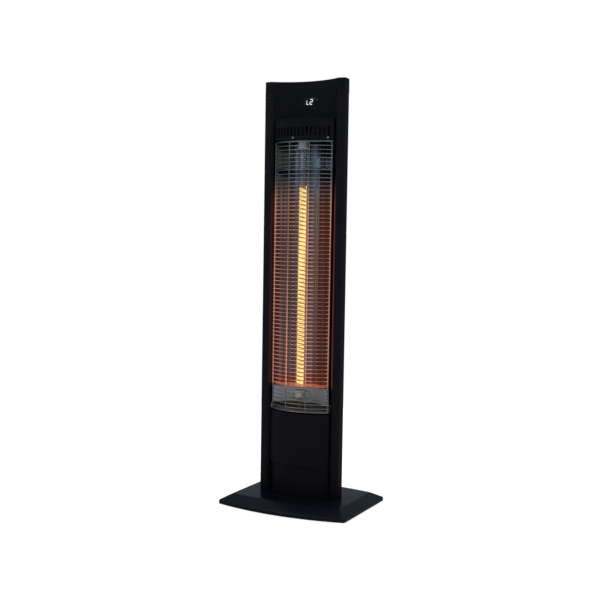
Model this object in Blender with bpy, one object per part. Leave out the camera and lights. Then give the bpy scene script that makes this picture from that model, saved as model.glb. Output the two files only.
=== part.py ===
"""Outdoor tower heater: a wide plinth, a slim column and one upright carbon heating tube behind a wire guard.

Metres, +Z up. The front faces -Y and +X is to the viewer's right. The origin is at floor level, at the
middle of the plinth's footprint. Run it in Blender to build one named object for each piece.
"""

import math

import bmesh
import bpy
from mathutils import Matrix, Vector

# Gaps and sheet thicknesses
GAP = 0.0004
SHEET = 0.0018
WALL = 0.0025

# Heights, measured from the floor
HEIGHT = 0.880
CAP_Z = 0.857
WINDOW_Z = (0.8290, 0.8465)
SHELF_Z = 0.800
SLOT_Z = (0.7640, 0.7830)
VENT_Z = 0.7570
SHIELD_Z = 0.7545
REFLECTOR_Z = (0.2115, 0.7515)
UPPER_BAFFLE_Z = 0.6980
LOWER_BAFFLE_Z = 0.2510
GUARD_Z = (0.1978, 0.7535)
FLOOR_Z = 0.1985
PANEL_Z = (0.0850, 0.1950)
FASCIA_TOP = 0.1150
PLATEAU_Z = 0.0205
COLUMN_Z = PLATEAU_Z + GAP
RIM_Z = (0.0004, 0.0080)

# Plinth
PLINTH_X, PLINTH_Y, PLINTH_BOW = 0.1450, 0.0995, 0.0215
PLATEAU_X, PLATEAU_Y, PLATEAU_BOW = 0.123, 0.0768, 0.012
PLINTH_CORNER, PLATEAU_CORNER = 0.0045, 0.0025

# Column in plan: the two front ridges lie in one plane, and depths are counted back from it
RIDGE_X, RIDGE_Y = 0.0765, -0.0203
OUTER_X, OUTER_DEPTH = 0.0915, 0.0021
GROOVE_X, GROOVE_DEPTH = 0.0707, 0.0043
SIDE_DEPTH = 0.0216
FLANGE_DEPTH = 0.020
REAR_X, REAR_DEPTH = 0.0715, 0.0640
REAR_FLANGE_X = 0.0610
REAR_PANEL_X = 0.0700
GROOVE_LIP_X = 0.0689

# The convex front (guard, vent block, lower panel) is one cylinder, and the scoop above it another
FRONT_RADIUS = 0.110
FRONT_AXIS_Y = RIDGE_Y + 0.0888
SCOOP_RADIUS = 0.133
SCOOP_AXIS_Y = RIDGE_Y - 0.1088
INSERT_X = 0.0685
GUARD_X = 0.0660
RETURN_DEPTH = 0.018
FASCIA_INSET = 0.0036

# Heating tube
TUBE_Y = RIDGE_Y + 0.003
TUBE_RADIUS, TUBE_BORE = 0.0095, 0.0083
TUBE_Z = (0.2335, 0.7470)
COIL_Z = (0.2535, 0.6650)
COIL_RADIUS, COIL_PITCH, COIL_WIDTH, COIL_THICKNESS = 0.0072, 0.0085, 0.0060, 0.0007
SOCKET_RADIUS, SOCKET_BORE, SOCKET_Z, SOCKET_GRIP = 0.0110, 0.0022, 0.0068, 0.0080
LEAD_RADIUS, LEAD_HOLE = 0.0013, 0.0030

# Wire guard
GUARD_WIRES = 69
GUARD_WIRE = 0.0018
GUARD_BAYS = 3

# Tip-over switch, behind the column's middle
TIP_X, TIP_Y = 0.0, 0.0120
TIP_STEM, TIP_COLLAR, TIP_PIN = 0.0026, 0.0040, 0.0015
TIP_COLLAR_Z = (0.0280, 0.0300)
TIP_ROOF_Z = (0.0400, 0.0440)

# Rear mains switch and cable gland
SWITCH_X, SWITCH_Z = 0.030, 0.075
SWITCH_SIZE, SWITCH_DEPTH = (0.0150, 0.0210), 0.016
ROCKER_TILT = math.radians(9)
GLAND_X, GLAND_Z = -0.030, 0.060
GLAND_NECK, GLAND_NUT, GLAND_BORE = 0.0060, 0.0085, 0.0038

# Reflector in plan, (X, depth) from its lip to its middle, and its sheet and that of the baffles
REFLECTOR_PROFILE = (
    (0.0655, 0.0030),
    (0.0524, 0.0132),
    (0.0432, 0.0197),
    (0.0328, 0.0248),
    (0.0252, 0.0286),
    (0.0179, 0.0305),
    (0.0, 0.0222),
)
REFLECTOR_SHEET = 0.0008
BAFFLE_SHEET = 0.0010

# Rear panel and the places of what is fixed through it
REAR_PANEL_Y = RIDGE_Y + REAR_DEPTH + GAP
REAR_SLOT_ROWS = (0.120, 0.785)
REAR_SLOTS, REAR_SLOT_PITCH, REAR_SLOT_HEIGHT, REAR_SLOT_X = 7, 0.0070, 0.0030, 0.045
REAR_SCREWS = [(side * 0.0655, z) for side in (-1, 1) for z in (0.045, 0.835)]

# Foot brackets, base screws and rubber feet
BRACKET_X = (0.0400, 0.0690)
BRACKET_DEPTH = (0.0225, 0.0618)
BRACKET_SHEET = 0.0025
BRACKET_TOP = 0.080
BASE_SCREWS = [(side * 0.054, RIDGE_Y + depth) for side in (-1, 1) for depth in (0.030, 0.048)]
BASE_SCREW_HOLE = 0.0024
FEET = [(side_x * 0.108, side_y * 0.072) for side_y in (-1, 1) for side_x in (-1, 1)]
FOOT_STEM = 0.0040
BALLAST_X, BALLAST_Y, BALLAST_Z = 0.098, 0.058, (0.0056, 0.0125)
BASE_FLOOR_Z = (0.0029, 0.0047)

# Display
DISPLAY_HALF = 0.0702
WINDOW_X = 0.0138
STATUS_X, STATUS_Z, STATUS_RADIUS = 0.0182, 0.8419, 0.0012
DIGIT_BLOCK_DEPTH = 0.0055
BOARD_SHEET = 0.0016
CONTROL_Y = RIDGE_Y + 0.050

# Vent block
VENT_SLOTS = 15
VENT_SLOT_PITCH = 0.0090 / FRONT_RADIUS
VENT_SLOT_WIDTH = 0.0040
VENT_REAR_DEPTH = 0.0285
VENT_SCREWS = (-0.0133, 0.0582)
VENT_SCREW_Z = 0.7604
VENT_SCREW_SHANK = 0.0012

# Boolean cutters reach this far past what they cut, or twice as far where there is room
CUT_LEAD = 0.002
LONG_LEAD = 0.005


# ---------------------------------------------------------------- outlines


def spread(low, high, steps):
    return [low + (high - low) * i / steps for i in range(steps + 1)]


def bow(radius, axis_y, half, steps, facing):
    """Points across X on a circle. facing -1 bulges to the front, +1 to the rear."""
    reach = math.asin(half / radius)
    return [
        (radius * math.sin(a), axis_y + facing * radius * math.cos(a)) for a in spread(-reach, reach, steps)
    ]


def front_bow(inset, half, steps=12):
    """The convex front, set back by inset along its radius."""
    return bow(FRONT_RADIUS - inset, FRONT_AXIS_Y, half, steps, -1)


def scoop_bow(inset, half, steps=12):
    """The concave scoop, set back by inset along its radius."""
    return bow(SCOOP_RADIUS + inset, SCOOP_AXIS_Y, half, steps, 1)


def mirrored(outline):
    return [(-x, y) for x, y in reversed(outline)]


def offset(points, distance, closed=True):
    """The points moved left of their direction of travel, with mitred corners."""
    count = len(points)
    moved = []
    for i in range(count):
        here = Vector(points[i])
        before = Vector(points[i - 1]) if closed or i > 0 else None
        after = Vector(points[(i + 1) % count]) if closed or i < count - 1 else None
        normals = []
        for start, end in ((before, here), (here, after)):
            if start is not None and end is not None:
                along = (end - start).normalized()
                normals.append(Vector((-along.y, along.x)))
        mitre = normals[0]
        if len(normals) == 2:
            mitre = (normals[0] + normals[1]) / (1 + normals[0].dot(normals[1]))
        moved.append(tuple(here + distance * mitre))
    return moved


def strip(path, thickness):
    """A closed outline: the path and its copy to the left."""
    return list(path) + offset(path, thickness, closed=False)[::-1]


def softened(outline, corners, radius, steps=3):
    """The outline with the corners at these indices rounded by a short curve."""
    result = []
    for i, point in enumerate(outline):
        if i not in corners:
            result.append(point)
            continue
        here = Vector(point)
        before = Vector(outline[i - 1])
        after = Vector(outline[(i + 1) % len(outline)])
        start = here + (before - here).normalized() * radius
        end = here + (after - here).normalized() * radius
        for t in spread(0, 1, steps):
            result.append(tuple(start.lerp(here, t).lerp(here.lerp(end, t), t)))
    return result


def plinth_outline(half_x, half_y, sagitta, corner, steps=10):
    """Straight sides and bowed front and rear edges."""
    radius = (half_x**2 + sagitta**2) / (2 * sagitta)
    front = bow(radius, radius - sagitta - half_y, half_x, steps, -1)
    outline = front + [(-x, -y) for x, y in front]
    return softened(outline, {0, steps, steps + 1, 2 * steps + 1}, corner)


def rectangle(x0, x1, y0, y1):
    return [(x0, y0), (x1, y0), (x1, y1), (x0, y1)]


def disc(x, y, radius, steps=16):
    return [
        (x + radius * math.cos(a), y + radius * math.sin(a)) for a in spread(0, 2 * math.pi, steps)[:-1]
    ]


def wing_path():
    """The right-hand side profile from its inner flange, round the ridge, to its rear flange."""
    depths = (
        (GROOVE_LIP_X, FLANGE_DEPTH),
        (GROOVE_X, FLANGE_DEPTH),
        (GROOVE_X, GROOVE_DEPTH),
        (RIDGE_X, 0.0),
        (OUTER_X, OUTER_DEPTH),
        (OUTER_X, SIDE_DEPTH),
        (REAR_X, REAR_DEPTH),
        (REAR_FLANGE_X, REAR_DEPTH),
    )
    return [(x, RIDGE_Y + depth) for x, depth in depths]


def reflector_path():
    """The reflector's front face in plan, from its left lip to its right one."""
    right = [(x, RIDGE_Y + depth) for x, depth in REFLECTOR_PROFILE]
    return [(-x, y) for x, y in right] + right[-2::-1]


# ---------------------------------------------------------------- materials


def material(name, colour, roughness, metallic=0.0, alpha=1.0):
    found = bpy.data.materials.get(name)
    if found:
        return found
    made = bpy.data.materials.new(name)
    made.use_nodes = True
    shader = made.node_tree.nodes["Principled BSDF"]
    shader.inputs["Base Color"].default_value = (*colour, 1.0)
    shader.inputs["Roughness"].default_value = roughness
    shader.inputs["Metallic"].default_value = metallic
    shader.inputs["Alpha"].default_value = alpha
    return made


def body_black():
    return material("body_black", (0.012, 0.012, 0.015), 0.45)


def plinth_black():
    return material("plinth_black", (0.014, 0.015, 0.020), 0.25)


def zinc_steel():
    return material("zinc_steel", (0.45, 0.46, 0.47), 0.40, 1.0)


def chrome_wire():
    return material("chrome_wire", (0.75, 0.75, 0.74), 0.18, 1.0)


def polished_aluminium():
    return material("polished_aluminium", (0.85, 0.85, 0.86), 0.10, 1.0)


def screw_steel():
    return material("screw_steel", (0.70, 0.70, 0.70), 0.25, 1.0)


def black_rubber():
    return material("black_rubber", (0.02, 0.02, 0.02), 0.80)


def clear_quartz():
    return material("clear_quartz", (0.95, 0.95, 0.92), 0.03, 0.0, 0.35)


def glowing_carbon():
    return material("glowing_carbon", (1.0, 0.62, 0.18), 0.60)


def white_ceramic():
    return material("white_ceramic", (0.78, 0.76, 0.70), 0.50)


def board_green():
    return material("board_green", (0.03, 0.14, 0.07), 0.50)


def part_black():
    return material("part_black", (0.02, 0.02, 0.02), 0.50)


def smoked_lens():
    return material("smoked_lens", (0.01, 0.01, 0.012), 0.06)


def silicone_lead():
    return material("silicone_lead", (0.30, 0.08, 0.05), 0.60)


# ---------------------------------------------------------------- solids


def place(name, mesh, look):
    mesh.materials.append(look)
    mesh.set_sharp_from_angle(angle=math.radians(32))
    made = bpy.data.objects.new(name, mesh)
    bpy.context.scene.collection.objects.link(made)
    return made


def mesh_of(name, points, faces):
    """A mesh with its faces turned outwards."""
    shape = bmesh.new()
    vertices = [shape.verts.new(p) for p in points]
    for face in faces:
        shape.faces.new([vertices[i] for i in face])
    bmesh.ops.recalc_face_normals(shape, faces=shape.faces)
    mesh = bpy.data.meshes.new(name)
    shape.to_mesh(mesh)
    shape.free()
    mesh.shade_smooth()
    return mesh


def loft(name, loops, look):
    """A solid skinned over loops that have the same number of points, closed at both ends."""
    count = len(loops[0])
    points = [point for loop in loops for point in loop]
    faces = [list(range(count)), list(range(len(points) - count, len(points)))]
    for level in range(len(loops) - 1):
        for i in range(count):
            j = (i + 1) % count
            low, high = level * count, (level + 1) * count
            faces.append((low + i, low + j, high + j, high + i))
    return place(name, mesh_of(name, points, faces), look)


def at_height(outline, z):
    return [(x, y, z) for x, y in outline]


def prism(name, outline, z0, z1, look):
    return loft(name, [at_height(outline, z0), at_height(outline, z1)], look)


def block(name, low, high, look):
    return prism(name, rectangle(low[0], high[0], low[1], high[1]), low[2], high[2], look)


def turned(name, profile, look, centre=(0, 0, 0), steps=20):
    """A solid of revolution about Z. profile is (radius, z) from one end to the other, without its axis."""
    loops = [[(x, y, z) for x, y in disc(0, 0, radius, steps)] for radius, z in profile]
    made = loft(name, loops, look)
    made.location = centre
    return made


def facing_rear(piece, centre):
    """Lays a turned piece along Y, its +Z end to the rear."""
    piece.matrix_world = Matrix.Translation(centre) @ Matrix.Rotation(-math.pi / 2, 4, "X")
    return piece


def facing_front(piece, centre, turn=0.0):
    """Lays a turned piece along Y, its +Z end to the front and turned aside by an angle about Z."""
    laid = Matrix.Rotation(turn, 4, "Z") @ Matrix.Rotation(math.pi / 2, 4, "X")
    piece.matrix_world = Matrix.Translation(centre) @ laid
    return piece


def upright_outline(name, outline, y0, y1, look):
    """A solid whose outline is drawn in X and Z and which runs from y0 to y1."""
    return loft(name, [[(x, y, z) for x, z in outline] for y in (y0, y1)], look)


def boolean(piece, other, operation):
    """Cuts piece by other, or keeps what both hold. other becomes a hidden helper."""
    step = piece.modifiers.new(operation.lower() + "_" + other.name, "BOOLEAN")
    step.operation = operation
    step.solver = "EXACT"
    step.object = other
    other.hide_render = True
    other.display_type = "WIRE"
    return piece


def cut(piece, *cutters):
    for cutter in cutters:
        boolean(piece, cutter, "DIFFERENCE")
    return piece


def joined_mesh(name, shapes):
    """One mesh from (points, faces) shapes that don't touch."""
    points, faces = [], []
    for shape_points, shape_faces in shapes:
        start = len(points)
        points.extend(shape_points)
        faces.extend([tuple(start + i for i in face) for face in shape_faces])
    return mesh_of(name, points, faces)


def box_shape(low, high, turn=None):
    """Points and faces of a box, for joined_mesh."""
    (x0, y0, z0), (x1, y1, z1) = low, high
    corners = [Vector((x, y, z)) for z in (z0, z1) for y in (y0, y1) for x in (x0, x1)]
    if turn is not None:
        corners = [turn @ corner for corner in corners]
    sides = ((0, 1, 3, 2), (4, 5, 7, 6), (0, 1, 5, 4), (2, 3, 7, 6), (0, 2, 6, 4), (1, 3, 7, 5))
    return [tuple(corner) for corner in corners], sides


def hole(name, x, y, radius, z0, z1):
    return prism(name, disc(x, y, radius, 16), z0, z1, part_black())


# ---------------------------------------------------------------- plinth


def base_cover():
    rim = plinth_outline(PLINTH_X, PLINTH_Y, PLINTH_BOW, PLINTH_CORNER)
    top = plinth_outline(PLATEAU_X, PLATEAU_Y, PLATEAU_BOW, PLATEAU_CORNER)
    outer = [at_height(rim, RIM_Z[0]), at_height(rim, RIM_Z[1]), at_height(top, PLATEAU_Z)]
    cover = loft("base_cover", outer, plinth_black())
    inner_rim, inner_top = offset(rim, WALL), offset(top, WALL)
    inner = [
        at_height(inner_rim, RIM_Z[0] - CUT_LEAD),
        at_height(inner_rim, RIM_Z[1] - 0.001),
        at_height(inner_top, PLATEAU_Z - WALL),
    ]
    cut(cover, loft("cutter_base_inside", inner, part_black()))
    low, high = PLATEAU_Z - WALL - CUT_LEAD, PLATEAU_Z + CUT_LEAD
    cut(cover, hole("cutter_base_plunger", TIP_X, TIP_Y, TIP_STEM + GAP, low, high))
    for i, (x, y) in enumerate(BASE_SCREWS):
        cut(cover, hole(f"cutter_base_screw_{i}", x, y, BASE_SCREW_HOLE, low, high))


def ballast_plate():
    """The steel weight in the plinth, with room for the plunger."""
    low, high = BALLAST_Z
    outline = softened(rectangle(-BALLAST_X, BALLAST_X, -BALLAST_Y, BALLAST_Y), {0, 1, 2, 3}, 0.008)
    plate = prism("ballast_plate", outline, low, high, zinc_steel())
    room = TIP_COLLAR + CUT_LEAD
    cut(plate, hole("cutter_ballast_plunger", TIP_X, TIP_Y, room, low - CUT_LEAD, high + CUT_LEAD))


def base_floor():
    """The plate that closes the plinth from below."""
    rim = plinth_outline(PLINTH_X, PLINTH_Y, PLINTH_BOW, PLINTH_CORNER)
    plate = prism("base_floor", offset(rim, WALL + GAP), *BASE_FLOOR_Z, part_black())
    low, high = BASE_FLOOR_Z[0] - CUT_LEAD, BASE_FLOOR_Z[1] + CUT_LEAD
    cut(plate, hole("cutter_floor_plunger", TIP_X, TIP_Y, TIP_STEM + GAP, low, high))
    for i, (x, y) in enumerate(FEET):
        cut(plate, hole(f"cutter_floor_foot_{i}", x, y, FOOT_STEM + GAP, low, high))


def feet():
    names = ("foot_front_left", "foot_front_right", "foot_rear_left", "foot_rear_right")
    profile = ((0.0085, 0.0), (0.0095, 0.0008), (0.0095, 0.0025), (FOOT_STEM, 0.0025), (FOOT_STEM, 0.0062))
    for name, (x, y) in zip(names, FEET):
        turned(name, profile, black_rubber(), (x, y, 0))


def foot_brackets():
    """Brackets between column and plinth: one flange on the plateau, one against the wing's rear flange."""
    x0, x1 = BRACKET_X
    front, rear = RIDGE_Y + BRACKET_DEPTH[0], RIDGE_Y + BRACKET_DEPTH[1]
    z0 = COLUMN_Z
    profile = [
        (front, z0),
        (rear, z0),
        (rear, BRACKET_TOP),
        (rear - BRACKET_SHEET, BRACKET_TOP),
        (rear - BRACKET_SHEET, z0 + BRACKET_SHEET),
        (front, z0 + BRACKET_SHEET),
    ]
    for name, side in (("column_bracket_left", -1), ("column_bracket_right", 1)):
        loops = [[(side * x, y, z) for y, z in profile] for x in (x0, x1)]
        bracket = loft(name, loops, zinc_steel())
        for i, (x, y) in enumerate(BASE_SCREWS):
            if x * side > 0:
                low, high = z0 - CUT_LEAD, z0 + LONG_LEAD
                cut(bracket, hole(f"cutter_{name}_{i}", x, y, BASE_SCREW_HOLE, low, high))


def base_screws():
    profile = ((0.0038, 0.0142), (0.0038, 0.0176), (0.0020, 0.0176), (0.0020, 0.0262))
    for i, (x, y) in enumerate(BASE_SCREWS):
        turned(f"base_screw_{i + 1}", profile, screw_steel(), (x, y, 0), steps=12)


# ---------------------------------------------------------------- tip-over switch


def tip_plunger():
    low, high = TIP_COLLAR_Z
    profile = (
        (TIP_STEM - 0.0006, 0.0006),
        (TIP_STEM, 0.0012),
        (TIP_STEM, low),
        (TIP_COLLAR, low),
        (TIP_COLLAR, high),
        (TIP_PIN, high),
        (TIP_PIN, TIP_ROOF_Z[1] - 0.0004),
    )
    moved = [(radius, z - low) for radius, z in profile]
    turned("tip_plunger", moved, white_ceramic(), (TIP_X, TIP_Y, low), steps=16)


def tip_switch_housing():
    """A block with a bore for the plunger's collar and its spring, and a hole in the roof for its pin."""
    half = 0.009
    roof, top = TIP_ROOF_Z
    low, high = (TIP_X - half, TIP_Y - half, COLUMN_Z), (TIP_X + half, TIP_Y + half, top)
    housing = block("tip_switch_housing", low, high, part_black())
    bore = hole("cutter_tip_bore", TIP_X, TIP_Y, TIP_COLLAR + GAP, COLUMN_Z - CUT_LEAD, roof)
    pin = hole("cutter_tip_pin", TIP_X, TIP_Y, TIP_PIN + GAP, roof - CUT_LEAD, top + CUT_LEAD)
    cut(housing, bore, pin)


def tip_spring():
    """A compression spring round the plunger's pin, between its collar and the housing's roof."""
    wire, radius, turns, around = 0.0007, 0.0029, 5, 10
    low, high = TIP_COLLAR_Z[1] + GAP + wire / 2, TIP_ROOF_Z[0] - GAP - wire / 2
    helix("tip_spring", radius, low, high, turns, around, (wire, wire), zinc_steel(), (TIP_X, TIP_Y))


def helix(name, radius, z0, z1, turns, around, section, look, centre, hand=1):
    """A coil of rectangular section: (width along Z, thickness along the radius)."""
    width, thickness = section
    loops = []
    for i in range(round(turns * around) + 1):
        angle = hand * 2 * math.pi * i / around
        z = z0 + (z1 - z0) * i / (turns * around)
        loop = []
        for out, up in ((-1, -1), (1, -1), (1, 1), (-1, 1)):
            reach = radius + out * thickness / 2
            x, y = reach * math.cos(angle), reach * math.sin(angle)
            loop.append((centre[0] + x, centre[1] + y, z + up * width / 2))
        loops.append(loop)
    return loft(name, loops, look)


def tip_microswitch():
    low = TIP_ROOF_Z[1] + GAP
    half_x, half_y, height = 0.010, 0.0035, 0.011
    corner = (TIP_X - half_x, TIP_Y - half_y, low)
    block("tip_microswitch", corner, (TIP_X + half_x, TIP_Y + half_y, low + height), part_black())


# ---------------------------------------------------------------- column shell


def wings():
    for name, side in (("left_wing", -1), ("right_wing", 1)):
        outline = [(side * x, y) for x, y in strip(wing_path(), SHEET)]
        prism(name, outline, COLUMN_Z, CAP_Z - GAP, body_black())


def rear_panel():
    """The flat back, with two rows of air slots and openings for the switch, the gland and the screws."""
    half = REAR_PANEL_X
    z0, z1 = COLUMN_Z, CAP_Z - GAP
    panel = block("rear_panel", (-half, REAR_PANEL_Y, z0), (half, REAR_PANEL_Y + SHEET, z1), body_black())
    y0, y1 = REAR_PANEL_Y - CUT_LEAD, REAR_PANEL_Y + SHEET + CUT_LEAD
    slots = []
    for row_z in REAR_SLOT_ROWS:
        for i in range(REAR_SLOTS):
            z = row_z + REAR_SLOT_PITCH * i
            slots.append(box_shape((-REAR_SLOT_X, y0, z), (REAR_SLOT_X, y1, z + REAR_SLOT_HEIGHT)))
    mesh = joined_mesh("cutter_rear_slots", slots)
    cut(panel, place("cutter_rear_slots", mesh, part_black()))
    play = 0.0006
    half_x, half_z = SWITCH_SIZE[0] / 2 + play, SWITCH_SIZE[1] / 2 + play
    low, high = (SWITCH_X - half_x, y0, SWITCH_Z - half_z), (SWITCH_X + half_x, y1, SWITCH_Z + half_z)
    cut(panel, block("cutter_rear_switch", low, high, part_black()))
    cut(panel, bore_to_rear("cutter_rear_gland", GLAND_NECK + GAP, GLAND_X, GLAND_Z))
    for i, (x, z) in enumerate(REAR_SCREWS):
        cut(panel, bore_to_rear(f"cutter_rear_screw_{i}", 0.0019, x, z))


def bore_to_rear(name, radius, x, z):
    """A round cutter through the rear panel."""
    bore = turned(name, ((radius, -LONG_LEAD), (radius, LONG_LEAD)), part_black(), steps=16)
    return facing_rear(bore, (x, REAR_PANEL_Y, z))


def rear_screws():
    """Short pan-head screws that stand in the rear panel and end before the wing's flange."""
    profile = ((0.0015, -0.0020), (0.0015, 0.0003), (0.0034, 0.0003), (0.0034, 0.0014), (0.0022, 0.0022))
    names = ("rear_screw_1", "rear_screw_2", "rear_screw_3", "rear_screw_4")
    for name, (x, z) in zip(names, REAR_SCREWS):
        screw = turned(name, profile, screw_steel(), steps=12)
        facing_rear(screw, (x, REAR_PANEL_Y + SHEET, z))


def cap_outline():
    right = [
        (OUTER_X, RIDGE_Y + OUTER_DEPTH),
        (OUTER_X, RIDGE_Y + SIDE_DEPTH),
        (REAR_X, REAR_PANEL_Y + SHEET),
    ]
    return scoop_bow(0, RIDGE_X) + right + mirrored(right)


def top_cap():
    outline = cap_outline()
    loops = [
        at_height(outline, CAP_Z),
        at_height(offset(outline, 0.0004), HEIGHT - 0.0010),
        at_height(offset(outline, 0.0012), HEIGHT),
    ]
    cap = loft("top_cap", loops, body_black())
    inside = offset(outline, WALL)
    cut(cap, prism("cutter_cap_inside", inside, CAP_Z - CUT_LEAD, HEIGHT - WALL, part_black()))


# ---------------------------------------------------------------- display


def display_panel():
    outline = scoop_bow(0, DISPLAY_HALF) + scoop_bow(SHEET, DISPLAY_HALF)[::-1]
    panel = prism("display_panel", outline, SHELF_Z + GAP, CAP_Z - GAP, body_black())
    low = (-WINDOW_X, RIDGE_Y, WINDOW_Z[0])
    high = (WINDOW_X, RIDGE_Y + 0.040, WINDOW_Z[1])
    cut(panel, block("cutter_window", low, high, part_black()))
    radius = STATUS_RADIUS + GAP
    light = turned("cutter_status", ((radius, -LONG_LEAD), (radius, LONG_LEAD)), part_black(), steps=12)
    cut(panel, facing_front(light, status_place()))


def status_place():
    return (STATUS_X, SCOOP_AXIS_Y + math.sqrt(SCOOP_RADIUS**2 - STATUS_X**2), STATUS_Z)


def display_window():
    half = WINDOW_X - GAP
    outline = scoop_bow(0.0001, half, 4) + scoop_bow(SHEET, half, 4)[::-1]
    prism("display_window", outline, WINDOW_Z[0] + GAP, WINDOW_Z[1] - GAP, smoked_lens())


def status_light():
    profile = ((STATUS_RADIUS, -0.0040), (STATUS_RADIUS, 0.0002))
    facing_front(turned("status_light", profile, white_ceramic(), steps=12), status_place())


def display_parts():
    """The digit block behind the window and the small board that carries it."""
    front = SCOOP_AXIS_Y + SCOOP_RADIUS + SHEET
    rear = front + DIGIT_BLOCK_DEPTH
    block("led_display", (-0.0125, front + GAP, 0.8295), (0.0125, rear, 0.8460), part_black())
    board_y = rear + GAP
    low, high = (-0.032, board_y, 0.8100), (0.032, board_y + BOARD_SHEET, 0.8520)
    block("display_board", low, high, board_green())


# ---------------------------------------------------------------- control electronics


def control_electronics():
    """The control board with its relay and terminal block, and the heat shield under them."""
    high_y = CONTROL_Y + BOARD_SHEET
    block("control_board", (-0.050, CONTROL_Y, 0.7700), (0.050, high_y, 0.8480), board_green())
    rear_face = CONTROL_Y - GAP
    block("power_relay", (-0.034, rear_face - 0.0150, 0.7760), (-0.014, rear_face, 0.8040), part_black())
    block("terminal_block", (0.008, rear_face - 0.0120, 0.7740), (0.040, rear_face, 0.7900), white_ceramic())
    half = INSERT_X - CUT_LEAD
    rear = RIDGE_Y + REAR_DEPTH - 0.004
    shield = front_bow(0.004, half, 8) + [(half, rear), (-half, rear)]
    plate = prism("heat_shield", shield, SHIELD_Z, SHIELD_Z + BAFFLE_SHEET, zinc_steel())
    low, high = SHIELD_Z - CUT_LEAD, SHIELD_Z + BAFFLE_SHEET + CUT_LEAD
    cut(plate, hole("cutter_shield_lead", 0.0, TUBE_Y, LEAD_HOLE, low, high))


# ---------------------------------------------------------------- vent block


def vent_panel():
    """A hood that bulges to the front: a slotted wall, two sides and a shelf on top."""
    half = INSERT_X - GAP
    rear = RIDGE_Y + VENT_REAR_DEPTH
    outline = front_bow(0, half) + [(half, rear), (-half, rear)]
    hood = prism("vent_panel", outline, VENT_Z, SHELF_Z, body_black())
    inner_half = half - WALL
    inner = front_bow(WALL, inner_half) + [(inner_half, rear + CUT_LEAD), (-inner_half, rear + CUT_LEAD)]
    cut(hood, prism("cutter_vent_inside", inner, VENT_Z - CUT_LEAD, SHELF_Z - WALL, part_black()))
    slots = []
    for i in range(VENT_SLOTS):
        angle = (i - (VENT_SLOTS - 1) / 2) * VENT_SLOT_PITCH
        turn = Matrix.Translation((0, FRONT_AXIS_Y, 0)) @ Matrix.Rotation(angle, 4, "Z")
        half_width = VENT_SLOT_WIDTH / 2
        low = (-half_width, -FRONT_RADIUS - 2 * CUT_LEAD, SLOT_Z[0])
        high = (half_width, -FRONT_RADIUS + WALL + CUT_LEAD, SLOT_Z[1])
        slots.append(box_shape(low, high, turn))
    mesh = joined_mesh("cutter_vent_slots", slots)
    cut(hood, place("cutter_vent_slots", mesh, part_black()))
    radius = VENT_SCREW_SHANK + GAP
    for i, x in enumerate(VENT_SCREWS):
        profile = ((radius, -LONG_LEAD), (radius, LONG_LEAD))
        bore = turned(f"cutter_vent_screw_{i}", profile, part_black(), steps=12)
        cut(hood, on_front(bore, x, VENT_SCREW_Z))


def on_front(piece, x, z):
    """Lays a turned piece along the convex front's normal at this x, its +Z end to the front."""
    turn = math.asin(x / FRONT_RADIUS)
    y = FRONT_AXIS_Y - FRONT_RADIUS * math.cos(turn)
    return facing_front(piece, (x, y, z), turn)


def vent_screws():
    """Small pan-head screws along the vent block's lower edge."""
    shank, head = VENT_SCREW_SHANK, 0.0021
    profile = ((shank, -0.0060), (shank, GAP), (head, GAP), (head, 0.0011), (0.0013, 0.0017))
    for name, x in zip(("vent_screw_left", "vent_screw_right"), VENT_SCREWS):
        on_front(turned(name, profile, screw_steel(), steps=12), x, VENT_SCREW_Z)


# ---------------------------------------------------------------- guard


def guard_grille():
    """Curved cross wires welded to four uprights, drawn as one lattice with square wires."""
    reach = math.asin(GUARD_X / FRONT_RADIUS)
    half_wire = GUARD_WIRE / 2 / FRONT_RADIUS
    angles = []
    for bay in range(GUARD_BAYS + 1):
        centre = -reach + 2 * reach * bay / GUARD_BAYS
        angles += [centre - half_wire, centre + half_wire]
        if bay < GUARD_BAYS:
            angles.append(centre + reach / GUARD_BAYS)
    pitch = (GUARD_Z[1] - GUARD_Z[0] - GUARD_WIRE) / (GUARD_WIRES - 1)
    heights = [
        GUARD_Z[0] + pitch * i + edge * GUARD_WIRE for i in range(GUARD_WIRES) for edge in (0, 1)
    ]
    upright = {i for i in range(len(angles) - 1) if i % 3 == 0}
    solid = [
        [row % 2 == 0 or column in upright for column in range(len(angles) - 1)]
        for row in range(len(heights) - 1)
    ]
    shape = bmesh.new()
    grid = []
    for radius in (FRONT_RADIUS, FRONT_RADIUS - GUARD_WIRE):
        grid.append(
            [
                [
                    shape.verts.new((radius * math.sin(a), FRONT_AXIS_Y - radius * math.cos(a), z))
                    for a in angles
                ]
                for z in heights
            ]
        )
    front, rear = grid

    def filled(row, column):
        return 0 <= row < len(solid) and 0 <= column < len(solid[0]) and solid[row][column]

    for row in range(len(solid)):
        for column in range(len(solid[0])):
            if not solid[row][column]:
                continue
            corners = ((row, column), (row, column + 1), (row + 1, column + 1), (row + 1, column))
            shape.faces.new([front[r][c] for r, c in corners])
            shape.faces.new([rear[r][c] for r, c in reversed(corners)])
            neighbours = ((row - 1, column), (row, column + 1), (row + 1, column), (row, column - 1))
            for i, (r, c) in enumerate(neighbours):
                if not filled(r, c):
                    (r0, c0), (r1, c1) = corners[i], corners[(i + 1) % 4]
                    shape.faces.new((front[r0][c0], rear[r0][c0], rear[r1][c1], front[r1][c1]))
    loose = [vertex for vertex in shape.verts if not vertex.link_faces]
    bmesh.ops.delete(shape, geom=loose, context="VERTS")
    bmesh.ops.recalc_face_normals(shape, faces=shape.faces)
    mesh = bpy.data.meshes.new("guard_grille")
    shape.to_mesh(mesh)
    shape.free()
    place("guard_grille", mesh, chrome_wire())


# ---------------------------------------------------------------- heating unit


def reflector():
    prism("reflector", strip(reflector_path(), REFLECTOR_SHEET), *REFLECTOR_Z, polished_aluminium())


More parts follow.
